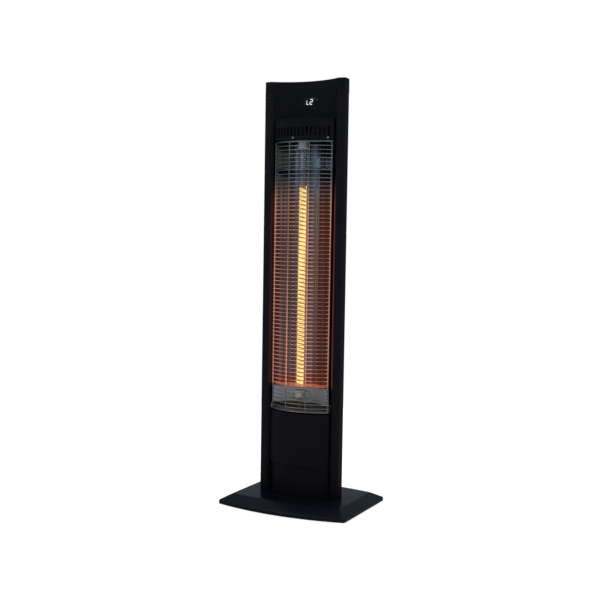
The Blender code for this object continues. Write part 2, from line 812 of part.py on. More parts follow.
def baffle_outline(inset):
    """The space between the reflector and the guard."""
    inner = offset(reflector_path(), -inset, closed=False)
    half = INSERT_X - 0.006
    return front_bow(0.005, half, 8) + [(x, y) for x, y in reversed(inner) if abs(x) < half]


def baffles():
    """Two plates across the reflector that the tube passes through."""
    bore = TUBE_RADIUS + 0.0006
    for name, z in (("upper_baffle", UPPER_BAFFLE_Z), ("lower_baffle", LOWER_BAFFLE_Z)):
        plate = prism(name, baffle_outline(0.0005), z, z + BAFFLE_SHEET, polished_aluminium())
        cut(plate, hole(f"cutter_{name}", 0.0, TUBE_Y, bore, z - CUT_LEAD, z + BAFFLE_SHEET + CUT_LEAD))


def cavity_floor():
    """The tray under the tube, with a lip at its rear."""
    half, inset, height, floor = INSERT_X - 0.002, 0.004, 0.0105, 0.0012
    rear = RIDGE_Y + 0.040
    outline = front_bow(inset, half, 8) + [(half, rear), (-half, rear)]
    tray = prism("cavity_floor", outline, FLOOR_Z, FLOOR_Z + height, body_black())
    half, rear = half - SHEET, rear - SHEET
    inner = front_bow(inset - CUT_LEAD, half, 8) + [(half, rear), (-half, rear)]
    cut(tray, prism("cutter_tray", inner, FLOOR_Z + floor, FLOOR_Z + height + LONG_LEAD, part_black()))
    low, high = FLOOR_Z - CUT_LEAD, FLOOR_Z + floor + CUT_LEAD
    cut(tray, hole("cutter_tray_lead", 0.0, TUBE_Y, LEAD_HOLE, low, high))


def quartz_tube():
    low, high = TUBE_Z
    section = ((TUBE_BORE, low), (TUBE_RADIUS, low), (TUBE_RADIUS, high), (TUBE_BORE, high))
    ring("quartz_tube", section, clear_quartz(), (0, TUBE_Y, 0), 24)


def ring(name, section, look, centre, steps=20):
    """A solid of revolution that doesn't meet its axis. section is a closed outline of (radius, z)."""
    count = len(section)
    points = []
    for x, y in disc(0, 0, 1.0, steps):
        points += [(x * radius, y * radius, z) for radius, z in section]
    faces = []
    for i in range(steps):
        for k in range(count):
            here, there = i * count, (i + 1) % steps * count
            m = (k + 1) % count
            faces.append((here + k, there + k, there + m, here + m))
    made = place(name, mesh_of(name, points, faces), look)
    made.location = centre
    return made


def heating_coil():
    """A ribbon of carbon fibre wound left-handed inside the tube."""
    low, high = COIL_Z[0] + COIL_WIDTH / 2, COIL_Z[1] - COIL_WIDTH / 2
    turns = round((high - low) / COIL_PITCH)
    radius = COIL_RADIUS - COIL_THICKNESS / 2
    section = (COIL_WIDTH, COIL_THICKNESS)
    helix("heating_coil", radius, low, high, turns, 8, section, glowing_carbon(), (0, TUBE_Y), -1)


def tube_caps():
    """Ceramic sockets on both ends of the tube, each with a bore for its lead."""
    seat = TUBE_RADIUS + GAP
    for name, end, away in (("lower_tube_cap", TUBE_Z[0], -1), ("upper_tube_cap", TUBE_Z[1], 1)):
        section = (
            (SOCKET_BORE, end + away * SOCKET_Z),
            (SOCKET_RADIUS, end + away * SOCKET_Z),
            (SOCKET_RADIUS, end - away * SOCKET_GRIP),
            (seat, end - away * SOCKET_GRIP),
            (seat, end + away * GAP),
            (SOCKET_BORE, end + away * GAP),
        )
        ring(name, section, white_ceramic(), (0, TUBE_Y, 0))


def tube_clips():
    """Sprung steel clips that hold the sockets, open to the front."""
    radius = SOCKET_RADIUS + 0.0005
    reach, height, thickness = math.radians(130), 0.0070, 0.0008
    arc = [(radius * math.sin(a), TUBE_Y + radius * math.cos(a)) for a in spread(-reach, reach, 14)]
    for name, z in (("lower_tube_clip", TUBE_Z[0] - 0.0050), ("upper_tube_clip", TUBE_Z[1] - 0.0040)):
        prism(name, strip(arc, thickness), z, z + height, zinc_steel())


def lead(name, points, steps=6):
    """An insulated wire along a smooth curve through these points."""
    guide = [Vector(p) for p in points]
    guide = [2 * guide[0] - guide[1]] + guide + [2 * guide[-1] - guide[-2]]
    path = []
    for i in range(1, len(guide) - 2):
        a, b, c, d = guide[i - 1 : i + 3]
        last = steps + 1 if i == len(guide) - 3 else steps
        for t in spread(0, 1, steps)[:last]:
            bend = (2 * a - 5 * b + 4 * c - d) * t**2 + (3 * b - a - 3 * c + d) * t**3
            path.append(0.5 * (2 * b + (c - a) * t + bend))
    curve = bpy.data.curves.new(name, "CURVE")
    curve.dimensions = "3D"
    curve.bevel_depth = LEAD_RADIUS
    curve.bevel_resolution = 1
    curve.use_fill_caps = True
    line = curve.splines.new("POLY")
    line.points.add(len(path) - 1)
    for point, spot in zip(line.points, path):
        point.co = (*spot, 1.0)
    curve.materials.append(silicone_lead())
    bpy.context.scene.collection.objects.link(bpy.data.objects.new(name, curve))


def leads():
    """The lower lead ends at the mains switch's level, and the upper one at the terminal block."""
    rear = RIDGE_Y + 0.050
    lower = (
        (0, TUBE_Y, TUBE_Z[0] - 0.001),
        (0, TUBE_Y, 0.190),
        (0.004, RIDGE_Y + 0.016, 0.160),
        (0.010, rear, 0.120),
        (0.022, rear, 0.098),
    )
    upper = (
        (0, TUBE_Y, TUBE_Z[1] + 0.001),
        (0, TUBE_Y, 0.764),
        (0.012, RIDGE_Y + 0.018, 0.776),
        (0.024, RIDGE_Y + 0.034, 0.782),
    )
    lead("lower_lead", lower)
    lead("upper_lead", upper)


# ---------------------------------------------------------------- lower front


def channel(inset, half):
    """The convex front with a return at each side."""
    rear = RIDGE_Y + RETURN_DEPTH
    return strip([(-half, rear)] + front_bow(inset, half) + [(half, rear)], SHEET)


def lower_panel():
    """Rounded at its lower corners. Its returns stop above the fascia, which has its own."""
    panel = prism("lower_panel", channel(0, INSERT_X), *PANEL_Z, body_black())
    half = INSERT_X + CUT_LEAD / 10
    low, high = PANEL_Z[0], PANEL_Z[1] + LONG_LEAD
    shape = softened([(-half, low), (half, low), (half, high), (-half, high)], {0, 1}, 0.010, 5)
    front, rear = RIDGE_Y - FRONT_RADIUS, RIDGE_Y + RETURN_DEPTH + CUT_LEAD
    boolean(panel, upright_outline("cutter_lower_panel", shape, front, rear, part_black()), "INTERSECT")
    near = (-INSERT_X - CUT_LEAD, RIDGE_Y + 0.0052, low - CUT_LEAD)
    far = (INSERT_X + CUT_LEAD, rear + CUT_LEAD, FASCIA_TOP + GAP)
    cut(panel, block("cutter_returns", near, far, part_black()))


def lower_fascia():
    prism("lower_fascia", channel(FASCIA_INSET, INSERT_X - 0.0005), COLUMN_Z, FASCIA_TOP, body_black())


# ---------------------------------------------------------------- mains switch and gland


def mains_switch():
    """A rocker in a frame. The rocker's origin is on its pivot."""
    half_x, half_z = SWITCH_SIZE[0] / 2, SWITCH_SIZE[1] / 2
    face = REAR_PANEL_Y + SHEET
    low = (SWITCH_X - half_x, face - SWITCH_DEPTH, SWITCH_Z - half_z)
    high = (SWITCH_X + half_x, face + 0.0015, SWITCH_Z + half_z)
    frame = block("mains_switch_frame", low, high, part_black())
    inner_x, inner_z = half_x - 0.0020, half_z - 0.0025
    low = (SWITCH_X - inner_x, face - SWITCH_DEPTH / 2, SWITCH_Z - inner_z)
    high = (SWITCH_X + inner_x, face + LONG_LEAD, SWITCH_Z + inner_z)
    cut(frame, block("cutter_switch", low, high, part_black()))
    rocker_x, rocker_z = inner_x - GAP, inner_z - 0.0012
    foot_z, ear_y, foot_y = 0.72 * rocker_z, 0.0012, -0.0042
    outline = [(-rocker_z, ear_y), (0.0, -0.0002), (rocker_z, ear_y), (foot_z, foot_y), (-foot_z, foot_y)]
    loops = [[(x, y, z) for z, y in outline] for x in (-rocker_x, rocker_x)]
    rocker = loft("mains_switch_rocker", loops, part_black())
    pivot = Matrix.Translation((SWITCH_X, face, SWITCH_Z))
    rocker.matrix_world = pivot @ Matrix.Rotation(ROCKER_TILT, 4, "X")


def cable_gland():
    """A strain relief: a neck through the panel, a nut and a tapered collar round an open bore."""
    inside, seat, shoulder, outside = -0.0080, SHEET + GAP, 0.0060, 0.0140
    section = (
        (GLAND_NECK, inside),
        (GLAND_NECK, seat),
        (GLAND_NUT, seat),
        (GLAND_NUT, shoulder),
        (GLAND_NECK, outside),
        (GLAND_BORE, outside),
        (GLAND_BORE, inside),
    )
    gland = ring("cable_gland", section, part_black(), (0, 0, 0), 16)
    facing_rear(gland, (GLAND_X, REAR_PANEL_Y, GLAND_Z))


def build():
    for old in list(bpy.data.objects):
        bpy.data.objects.remove(old, do_unlink=True)
    base_cover()
    ballast_plate()
    base_floor()
    feet()
    foot_brackets()
    base_screws()
    tip_plunger()
    tip_switch_housing()
    tip_spring()
    tip_microswitch()
    wings()
    rear_panel()
    rear_screws()
    top_cap()
    display_panel()
    display_window()
    status_light()
    display_parts()
    control_electronics()
    vent_panel()
    vent_screws()
    guard_grille()
    reflector()
    baffles()
    cavity_floor()
    quartz_tube()
    heating_coil()
    tube_caps()
    tube_clips()
    leads()
    lower_panel()
    lower_fascia()
    mains_switch()
    cable_gland()


build()
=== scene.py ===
"""Outdoor tower heater: the finished look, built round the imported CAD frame."""

import math

import bmesh
import bpy
from mathutils import Matrix, Vector


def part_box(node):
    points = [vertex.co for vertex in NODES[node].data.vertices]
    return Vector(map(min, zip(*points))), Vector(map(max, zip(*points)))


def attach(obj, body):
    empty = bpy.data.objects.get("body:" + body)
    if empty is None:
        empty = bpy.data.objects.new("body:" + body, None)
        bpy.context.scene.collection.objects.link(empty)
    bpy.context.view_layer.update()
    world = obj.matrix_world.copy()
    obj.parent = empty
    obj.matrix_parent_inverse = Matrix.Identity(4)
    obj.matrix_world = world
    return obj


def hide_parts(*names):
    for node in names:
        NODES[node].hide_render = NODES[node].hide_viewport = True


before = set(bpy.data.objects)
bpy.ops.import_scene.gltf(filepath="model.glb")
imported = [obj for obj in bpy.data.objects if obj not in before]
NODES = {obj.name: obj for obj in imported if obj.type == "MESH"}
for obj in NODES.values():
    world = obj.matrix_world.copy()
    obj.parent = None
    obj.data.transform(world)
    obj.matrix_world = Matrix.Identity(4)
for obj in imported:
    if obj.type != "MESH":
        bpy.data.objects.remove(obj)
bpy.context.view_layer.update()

# ---------------------------------------------------------------- places and driving dimensions

RIDGE_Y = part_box("left_wing")[0].y
RIDGE_X = 0.0765
WING_X = 0.0915
WING_DEPTHS = (0.0021, 0.0216)
REAR_X = 0.0715
COLUMN_DEPTH = 0.0640
FRONT_RADIUS = 0.110
FRONT_AXIS_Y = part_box("guard_grille")[0].y + FRONT_RADIUS
SCOOP_RADIUS = 0.133
SCOOP_AXIS_Y = RIDGE_Y - 0.1088
SHEET = 0.0018
WALL = 0.0025
GAP = 0.0004
TUBE_Y = RIDGE_Y + 0.003
TUBE_RADIUS = 0.0095
COLUMN_Z, WING_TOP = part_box("left_wing")[0].z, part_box("left_wing")[1].z
REAR_FACE_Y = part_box("rear_panel")[1].y
GLOW_Z = (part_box("heating_coil")[0].z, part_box("heating_coil")[1].z)


def spread(low, high, steps):
    return [low + (high - low) * i / steps for i in range(steps + 1)]


def bow(radius, axis_y, half, steps, facing):
    """Points across X on a circle. facing -1 bulges to the front, +1 to the rear."""
    reach = math.asin(half / radius)
    turns = spread(-reach, reach, steps)
    return [(radius * math.sin(a), axis_y + facing * radius * math.cos(a)) for a in turns]


def front_bow(inset, half, steps=56):
    return bow(FRONT_RADIUS - inset, FRONT_AXIS_Y, half, steps, -1)


def scoop_bow(inset, half, steps=56):
    return bow(SCOOP_RADIUS + inset, SCOOP_AXIS_Y, half, steps, 1)


def on_front(angle, z, inset=0.0):
    """A point on the column's convex front, or behind it by the inset."""
    radius = FRONT_RADIUS - inset
    return (radius * math.sin(angle), FRONT_AXIS_Y - radius * math.cos(angle), z)


def mirrored(outline):
    return [(-x, y) for x, y in reversed(outline)]


def rectangle(x0, x1, y0, y1):
    return [(x0, y0), (x1, y0), (x1, y1), (x0, y1)]


def disc(x, y, radius, steps=48):
    return [(x + radius * math.cos(a), y + radius * math.sin(a)) for a in spread(0, 2 * math.pi, steps)[:-1]]


def offset(points, distance, closed=True):
    """The points moved left of their direction of travel, with mitred corners."""
    count = len(points)
    moved = []
    for i in range(count):
        here = Vector(points[i])
        before = Vector(points[i - 1]) if closed or i > 0 else None
        after = Vector(points[(i + 1) % count]) if closed or i < count - 1 else None
        normals = []
        for start, end in ((before, here), (here, after)):
            if start is not None and end is not None:
                along = (end - start).normalized()
                normals.append(Vector((-along.y, along.x)))
        mitre = normals[0]
        if len(normals) == 2:
            mitre = (normals[0] + normals[1]) / (1 + normals[0].dot(normals[1]))
        moved.append(tuple(here + distance * mitre))
    return moved


def eased(outline, radius, corners=None, closed=True, steps=4):
    """The outline with its corners rounded. corners lists the ones to round, or None for all of them."""
    result = []
    count = len(outline)
    for i, point in enumerate(outline):
        end_of_path = not closed and i in (0, count - 1)
        if end_of_path or (corners is not None and i not in corners):
            result.append(tuple(point))
            continue
        here, before, after = Vector(point), Vector(outline[i - 1]), Vector(outline[(i + 1) % count])
        reach = min(radius, 0.45 * (before - here).length, 0.45 * (after - here).length)
        start = here + (before - here).normalized() * reach
        end = here + (after - here).normalized() * reach
        for t in spread(0, 1, steps):
            result.append(tuple(start.lerp(here, t).lerp(here.lerp(end, t), t)))
    return result


# ---------------------------------------------------------------- materials


class Look:
    """A node material in the making: one Principled shader and the textures that feed it."""

    def __init__(self, name):
        self.material = bpy.data.materials.new(name)
        self.material.use_nodes = True
        self.tree = self.material.node_tree
        self.shader = self.tree.nodes["Principled BSDF"]
        self.place = self.tree.nodes.new("ShaderNodeTexCoord").outputs["Object"]

    def node(self, kind, inputs=(), **settings):
        made = self.tree.nodes.new(kind)
        for key, value in settings.items():
            setattr(made, key, value)
        for key, value in dict(inputs).items():
            if isinstance(value, bpy.types.NodeSocket):
                self.tree.links.new(value, made.inputs[key])
            else:
                made.inputs[key].default_value = value
        return made

    def stretched(self, scale):
        return self.node("ShaderNodeMapping", {"Vector": self.place, "Scale": scale}).outputs["Vector"]

    def noise(self, scale, detail=3.0, stretch=None, roughness=0.55):
        vector = self.stretched(stretch) if stretch else self.place
        made = self.node(
            "ShaderNodeTexNoise",
            {"Vector": vector, "Scale": scale, "Detail": detail, "Roughness": roughness},
        )
        return made.outputs["Fac"]

    def ranged(self, value, low, high, source=(0.3, 0.7)):
        made = self.node(
            "ShaderNodeMapRange",
            {"Value": value, "From Min": source[0], "From Max": source[1], "To Min": low, "To Max": high},
        )
        return made.outputs["Result"]

    def blend(self, factor, first, second):
        made = self.node("ShaderNodeMix", data_type="RGBA")
        self.tree.links.new(factor, made.inputs[0])
        for slot, colour in ((6, first), (7, second)):
            if isinstance(colour, bpy.types.NodeSocket):
                self.tree.links.new(colour, made.inputs[slot])
            else:
                made.inputs[slot].default_value = (*colour, 1.0)
        return made.outputs[2]

    def feed(self, socket, value):
        if isinstance(value, bpy.types.NodeSocket):
            self.tree.links.new(value, self.shader.inputs[socket])
        else:
            self.shader.inputs[socket].default_value = value

    def math(self, operation, first, second):
        return self.node("ShaderNodeMath", {0: first, 1: second}, operation=operation).outputs[0]

    def eased_range(self, value, low, high):
        """0 below low and 1 above high, or the other way round, with a soft change between them."""
        made = self.node("ShaderNodeMapRange", {"Value": value, "From Min": low, "From Max": high})
        made.interpolation_type = "SMOOTHSTEP"
        return made.outputs["Result"]

    def axes(self):
        return self.node("ShaderNodeSeparateXYZ", {0: self.place}).outputs

    def glow_zone(self):
        """1 at the heights where the ribbon glows, and 0 above and below them. It places the painted glow on
        the parts beside the ribbon.
        """
        height = self.axes()[2]
        rise = self.eased_range(height, GLOW_Z[0] - 0.010, GLOW_Z[0] + 0.004)
        fall = self.eased_range(height, GLOW_Z[1] + 0.025, GLOW_Z[1] - 0.050)
        return self.math("MULTIPLY", rise, fall)

    def bump(self, height, distance, strength=1.0, under=None):
        inputs = {"Height": height, "Distance": distance, "Strength": strength}
        if under is not None:
            inputs["Normal"] = under
        return self.node("ShaderNodeBump", inputs).outputs["Normal"]


def surface(
    name, dark, light, rough, cloud=40.0, grain=900.0, depth=0.00004, stretch=None, metallic=0.0, **constants
):
    """The usual finish: clouded colour, clouded and grainy roughness, and a fine bump. depth is in metres."""
    look = Look(name)
    clouds = look.noise(cloud, 4.0, stretch)
    grains = look.noise(grain, 2.0, stretch)
    look.feed("Base Color", look.blend(look.ranged(clouds, 0.0, 1.0), dark, light))
    mixed = look.math("ADD", clouds, grains)
    look.feed("Roughness", look.ranged(mixed, *rough, source=(0.7, 1.3)))
    look.feed("Normal", look.bump(grains, depth))
    look.feed("Metallic", metallic)
    for socket, value in constants.items():
        look.feed(socket.replace("_", " "), value)
    return look.material


PLINTH = surface(
    "moulded_black", (0.0026, 0.0038, 0.0066), (0.0034, 0.0050, 0.0082), (0.18, 0.28),
    cloud=18.0, grain=1900.0, depth=0.000016, Specular_IOR_Level=0.20,
)
ZINC = surface(
    "zinc_plate", (0.36, 0.37, 0.38), (0.52, 0.53, 0.55), (0.30, 0.46), 60.0, 700.0, 0.00001, metallic=1.0
)
TRAY = surface(
    "warm_tray", (0.085, 0.075, 0.066), (0.125, 0.110, 0.098), (0.35, 0.50), 70.0, 1500.0, 0.000020
)
PLASTIC = surface(
    "moulded_plastic", (0.010, 0.010, 0.011), (0.016, 0.016, 0.017), (0.42, 0.56), 50.0, 2200.0, 0.00003
)
SCREW = surface(
    "bright_screw", (0.66, 0.66, 0.66), (0.80, 0.80, 0.80), (0.16, 0.30), 300.0, 1800.0, 0.000004,
    metallic=1.0,
)
RUBBER = surface(
    "foot_rubber", (0.012, 0.012, 0.012), (0.022, 0.022, 0.021), (0.70, 0.85), 90.0, 1800.0, 0.00006
)
CERAMIC = surface("steatite", (0.25, 0.26, 0.26), (0.33, 0.34, 0.34), (0.45, 0.60), 160.0, 1400.0, 0.00004)
DARK_CERAMIC = surface(
    "glazed_ceramic", (0.030, 0.027, 0.024), (0.045, 0.040, 0.034), (0.30, 0.45), 160.0, 1400.0, 0.00003
)
WHITE = surface("white_moulding", (0.62, 0.62, 0.61), (0.72, 0.72, 0.71), (0.40, 0.52), 90.0, 1800.0, 0.00002)
BOARD = surface(
    "solder_mask", (0.010, 0.060, 0.028), (0.016, 0.085, 0.040), (0.30, 0.42), 200.0, 1200.0, 0.00003
)
LENS = surface(
    "smoked_lens", (0.0030, 0.0030, 0.0040), (0.0040, 0.0040, 0.0052), (0.05, 0.10), 40.0, 600.0, 0.000004
)
SLEEVE = surface(
    "glass_sleeve", (0.10, 0.050, 0.040), (0.20, 0.090, 0.070), (0.60, 0.75), 220.0, 2600.0, 0.00010
)
RELAY_CASE = surface(
    "relay_case", (0.012, 0.018, 0.040), (0.018, 0.025, 0.055), (0.35, 0.48), 120.0, 1500.0, 0.00002
)


def wire_look():
    """Plated wire, grey above and below the glowing ribbon, with a painted orange glow in its colour and
    emission beside it.
    """
    look = Look("plated_wire")
    zone = look.glow_zone()
    clouds = look.noise(120.0, 3.0)
    grey = look.blend(look.ranged(clouds, 0.0, 1.0), (0.34, 0.36, 0.33), (0.48, 0.50, 0.46))
    # painted glow: the warm colour beside the ribbon stands for its light on the wires
    painted_glow_tint = look.blend(look.ranged(clouds, 0.0, 1.0), (0.26, 0.18, 0.14), (0.36, 0.26, 0.21))
    look.feed("Base Color", look.blend(zone, grey, painted_glow_tint))
    look.feed("Metallic", 1.0)
    look.feed("Roughness", look.ranged(clouds, 0.16, 0.28))
    # painted glow: orange emission in upright bands beside the ribbon
    look.feed("Emission Color", (1.0, 0.50, 0.32, 1.0))
    columns = look.noise(1.0, 1.5, (95.0, 20.0, 1.2))
    painted_glow_strength = look.ranged(columns, 0.06, 0.46, (0.40, 0.60))
    look.feed("Emission Strength", look.math("MULTIPLY", zone, painted_glow_strength))
    look.feed("Normal", look.bump(look.noise(900.0, 2.0), 0.000006))
    return look.material


def mirror_look():
    """Polished sheet with faint rolling streaks, and painted shade darkening its left edge. Beside the ribbon
    it has a painted reddish tint and a painted dull red glow, and below the ribbon it is satin."""
    look = Look("polished_sheet")
    zone = look.glow_zone()
    streaks = look.noise(1.0, 2.0, (135.0, 25.0, 0.7))
    share = look.ranged(streaks, 0.0, 1.0, (0.4, 0.6))
    cold = look.blend(share, (0.06, 0.07, 0.08), (0.46, 0.53, 0.64))
    # painted glow: the reddish tint beside the ribbon stands for its light in the sheet
    painted_glow_tint = look.blend(share, (0.04, 0.020, 0.020), (0.32, 0.27, 0.31))
    axes = look.axes()
    # painted shade: the sheet darkens towards its left edge
    painted_left_shade = look.eased_range(axes[0], -0.034, -0.046)
    cold = look.blend(painted_left_shade, cold, (0.05, 0.05, 0.045))
    low = look.eased_range(axes[2], GLOW_Z[0] - 0.002, GLOW_Z[0] - 0.012)
    cold = look.blend(low, cold, (0.40, 0.43, 0.46))
    look.feed("Base Color", look.blend(zone, cold, painted_glow_tint))
    look.feed("Metallic", look.ranged(low, 1.0, 0.40, (0.0, 1.0)))
    look.feed("Roughness", look.ranged(streaks, 0.16, 0.24))
    # painted glow: dull red emission beside the ribbon
    look.feed("Emission Color", (1.0, 0.16, 0.10, 1.0))
    painted_glow_strength = look.ranged(streaks, 0.050, 0.0, (0.4, 0.6))
    look.feed("Emission Strength", look.math("MULTIPLY", zone, painted_glow_strength))
    look.feed("Normal", look.bump(look.noise(1.0, 2.0, (300.0, 300.0, 30.0)), 0.000010))
    return look.material


def lit_plate_look():
    """The lower baffle: painted orange glow in its colour and emission, standing for the light of the ribbon
    right above it.
    """
    look = Look("lit_baffle")
    clouds = look.noise(60.0, 3.0)
    look.feed("Base Color", look.blend(look.ranged(clouds, 0.0, 1.0), (0.40, 0.26, 0.20), (0.52, 0.36, 0.28)))
    look.feed("Metallic", 1.0)
    look.feed("Roughness", look.ranged(clouds, 0.20, 0.32))
    # painted glow: orange emission standing for the ribbon's light
    look.feed("Emission Color", (1.0, 0.20, 0.075, 1.0))
    look.feed("Emission Strength", look.ranged(clouds, 0.26, 0.46))
    look.feed("Normal", look.bump(clouds, 0.00002))
    return look.material


def coat_look(name, gleam=False):
    """Satin black powder coat, with painted shade that darkens it towards the floor. With a gleam, the
    painted shade is weaker, and the slopes beside the ribbon get a painted red glow, stronger on the right
    one."""
    look = Look(name)
    clouds = look.noise(26.0, 4.0)
    grains = look.noise(1500.0, 2.0)
    x, y, z = look.axes()
    # painted shade: the colour darkens towards the floor, standing for the shade there
    depth = look.eased_range(z, 0.72, 0.10)
    if gleam:
        depth = look.math("MULTIPLY", depth, 0.25)
    share = look.ranged(clouds, 0.0, 1.0)
    high = look.blend(share, (0.0044, 0.0047, 0.0070), (0.0052, 0.0055, 0.0080))
    low = look.blend(share, (0.0036, 0.0036, 0.0054), (0.0042, 0.0042, 0.0062))
    look.feed("Base Color", look.blend(depth, high, low))
    mixed = look.math("ADD", clouds, grains)
    look.feed("Roughness", look.ranged(mixed, 0.42, 0.54, source=(0.7, 1.3)))
    look.feed("Normal", look.bump(grains, 0.000030))
    look.feed("Specular IOR Level", 0.10)
    # painted glow: red emission on the slopes beside the ribbon, stronger on the right slope
    if gleam:
        slope = look.eased_range(look.math("ABSOLUTE", x, 0.0), RIDGE_X - 0.0002, RIDGE_X - 0.0030)
        slope = look.math("MULTIPLY", slope, look.eased_range(y, RIDGE_Y + 0.012, RIDGE_Y + 0.006))
        share = look.ranged(x, 0.024, 0.110, source=(-0.01, 0.01))
        look.feed("Emission Color", (1.0, 0.19, 0.15, 1.0))
        strength = look.math("MULTIPLY", look.math("MULTIPLY", slope, share), look.glow_zone())
        look.feed("Emission Strength", strength)
    return look.material


def quartz():
    """Clear tube: it reflects a little of the light, more near its sides, and lets the rest through."""
    look = Look("fused_quartz")
    streaks = look.noise(60.0, 3.0, (4.0, 4.0, 0.15))
    share = look.ranged(streaks, 0.0, 1.0)
    look.feed("Base Color", look.blend(share, (0.86, 0.87, 0.88), (0.96, 0.95, 0.94)))
    look.feed("Roughness", look.ranged(streaks, 0.03, 0.08))
    look.feed("Metallic", 1.0)
    rim = look.node("ShaderNodeLayerWeight", {"Blend": 0.35}).outputs["Facing"]
    steep = look.math("POWER", rim, 2.6)
    look.feed("Alpha", look.ranged(steep, 0.07, 0.62, source=(0.0, 1.0)))
    # painted glow: pinkish emission on the tube at the heights of the ribbon
    look.feed("Emission Color", (1.0, 0.50, 0.38, 1.0))
    look.feed("Emission Strength", look.math("MULTIPLY", look.glow_zone(), 0.30))
    look.feed("Normal", look.bump(streaks, 0.00002))
    return look.material


def glowing(name, deep, hot, strength, grain):
    """Carbon ribbon at working heat: brighter and darker patches along it."""
    look = Look(name)
    patches = look.noise(grain, 3.0)
    fibres = look.noise(1600.0, 2.0, (1.0, 1.0, 4.0))
    mixed = look.math("ADD", patches, fibres)
    share = look.ranged(mixed, 0.0, 1.0, source=(0.75, 1.25))
    look.feed("Base Color", look.blend(share, (0.05, 0.02, 0.01), (0.09, 0.04, 0.015)))
    look.feed("Emission Color", look.blend(share, deep, hot))
    look.feed("Emission Strength", look.ranged(share, strength * 0.8, strength * 1.2, source=(0.0, 1.0)))
    look.feed("Roughness", look.ranged(fibres, 0.6, 0.8))
    look.feed("Normal", look.bump(fibres, 0.00003))
    return look.material


def lit(name, colour, strength):
    """A lit digit or mark behind its lens."""
    look = Look(name)
    haze = look.noise(700.0, 2.0)
    dark, light = (tuple(share * c for c in colour) for share in (0.06, 0.08))
    look.feed("Base Color", look.blend(haze, dark, light))
    look.feed("Emission Color", (*colour, 1.0))
    look.feed("Emission Strength", look.ranged(haze, strength * 0.9, strength * 1.1))
    look.feed("Roughness", look.ranged(haze, 0.25, 0.35))
    return look.material


CHROME = wire_look()
MIRROR = mirror_look()
LIT_PLATE = lit_plate_look()
BODY = coat_look("powder_coat_black")
WING = coat_look("powder_coat_wing", gleam=True)
QUARTZ = quartz()
RIBBON = glowing("ribbon_outside", (1.0, 0.66, 0.16), (1.0, 0.78, 0.27), 1.28, 170.0)
# painted shade: the inner faces glow far dimmer than the outer ones, though they are as hot
RIBBON_INSIDE = glowing("ribbon_inside", (1.0, 0.42, 0.10), (1.0, 0.55, 0.16), 0.20, 170.0)
DIGIT = lit("digit_white", (0.90, 0.95, 1.0), 1.1)
STATUS = lit("status_white", (0.90, 0.93, 1.0), 0.07)
ICON = lit("icon_grey", (0.60, 0.66, 0.78), 0.005)


# ---------------------------------------------------------------- solids


def piece(name, mesh, look, stands_for=(), body="heater", angle=35.0):
    """Puts a finished mesh into the scene as one piece of the object."""
    mesh.shade_smooth()
    mesh.set_sharp_from_angle(angle=math.radians(angle))
    for one in look if isinstance(look, (list, tuple)) else [look]:
        mesh.materials.append(one)
    made = bpy.data.objects.new(name, mesh)
    bpy.context.scene.collection.objects.link(made)
    if stands_for:
        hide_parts(*stands_for)
    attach(made, body)
    return made


def mesh_of(name, points, faces):
    shape = bmesh.new()
    vertices = [shape.verts.new(p) for p in points]
    for face in faces:
        shape.faces.new([vertices[i] for i in face])
    bmesh.ops.recalc_face_normals(shape, faces=shape.faces)
    mesh = bpy.data.meshes.new(name)
    shape.to_mesh(mesh)
    shape.free()
    return mesh


def joined(name, shapes):
    """One mesh from several (points, faces) shapes."""
    points, faces = [], []
    for shape_points, shape_faces in shapes:
        start = len(points)
        points.extend(shape_points)
        faces.extend([tuple(start + i for i in face) for face in shape_faces])
    return mesh_of(name, points, faces)


def skin(loops, closed_ring=False):
    """Points and faces of a solid skinned over loops of equal length, closed at both ends or into a ring."""
    count = len(loops[0])
    points = [tuple(point) for loop in loops for point in loop]
    faces = []
    if not closed_ring:
        faces = [tuple(range(count)), tuple(range(len(points) - count, len(points)))]
    for level in range(len(loops) if closed_ring else len(loops) - 1):
        low, high = level * count, (level + 1) % len(loops) * count
        for i in range(count):
            j = (i + 1) % count
            faces.append((low + i, low + j, high + j, high + i))
    return points, faces


def at_height(outline, z):
    return [(x, y, z) for x, y in outline]


def rounded_prism(outline, z0, z1, edge=0.0003, steps=3):
    """An upright solid whose rims are rounded. The outline runs counter-clockwise."""
    loops = []
    for t in spread(0, math.pi / 2, steps):
        loops.append(at_height(offset(outline, edge * (1 - math.sin(t))), z0 + edge * (1 - math.cos(t))))
    for t in spread(math.pi / 2, 0, steps):
        loops.append(at_height(offset(outline, edge * (1 - math.sin(t))), z1 - edge * (1 - math.cos(t))))
    return skin(loops)


def peg(x, y, radius, z0, z1, steps=48):
    """An upright round bar, mostly for drilling."""
    return skin([at_height(disc(x, y, radius, steps), z) for z in (z0, z1)])


def moved(shape, matrix):
    points, faces = shape
    return [tuple(matrix @ Vector(p)) for p in points], faces


def turned(profile, steps=48):
    """Points and faces of a solid of revolution about Z. profile is (radius, z), without its axis."""
    return skin([at_height(disc(0, 0, radius, steps), z) for radius, z in profile])


def ring(section, steps=64):
    """A solid of revolution with a hole. section is a closed outline of (radius, z)."""
    loops = []
    for x, y in disc(0, 0, 1.0, steps):
        loops.append([(x * radius, y * radius, z) for radius, z in section])
    return skin(loops, closed_ring=True)


def pipe(path, radius, sides=10, cross=None):
    """Points and faces of a round wire along a path, without twist. cross is what its sides start from."""
    spots = [Vector(p) for p in path]
    loops = []
    side = Vector(cross) if cross else None
    for i, spot in enumerate(spots):
        along = (spots[min(i + 1, len(spots) - 1)] - spots[max(i - 1, 0)]).normalized()
        if side is None:
            side = along.orthogonal()
        side = (side - along * side.dot(along)).normalized()
        other = along.cross(side)
        loops.append([spot + x * side + y * other for x, y in disc(0, 0, radius, sides)])
    return skin(loops)


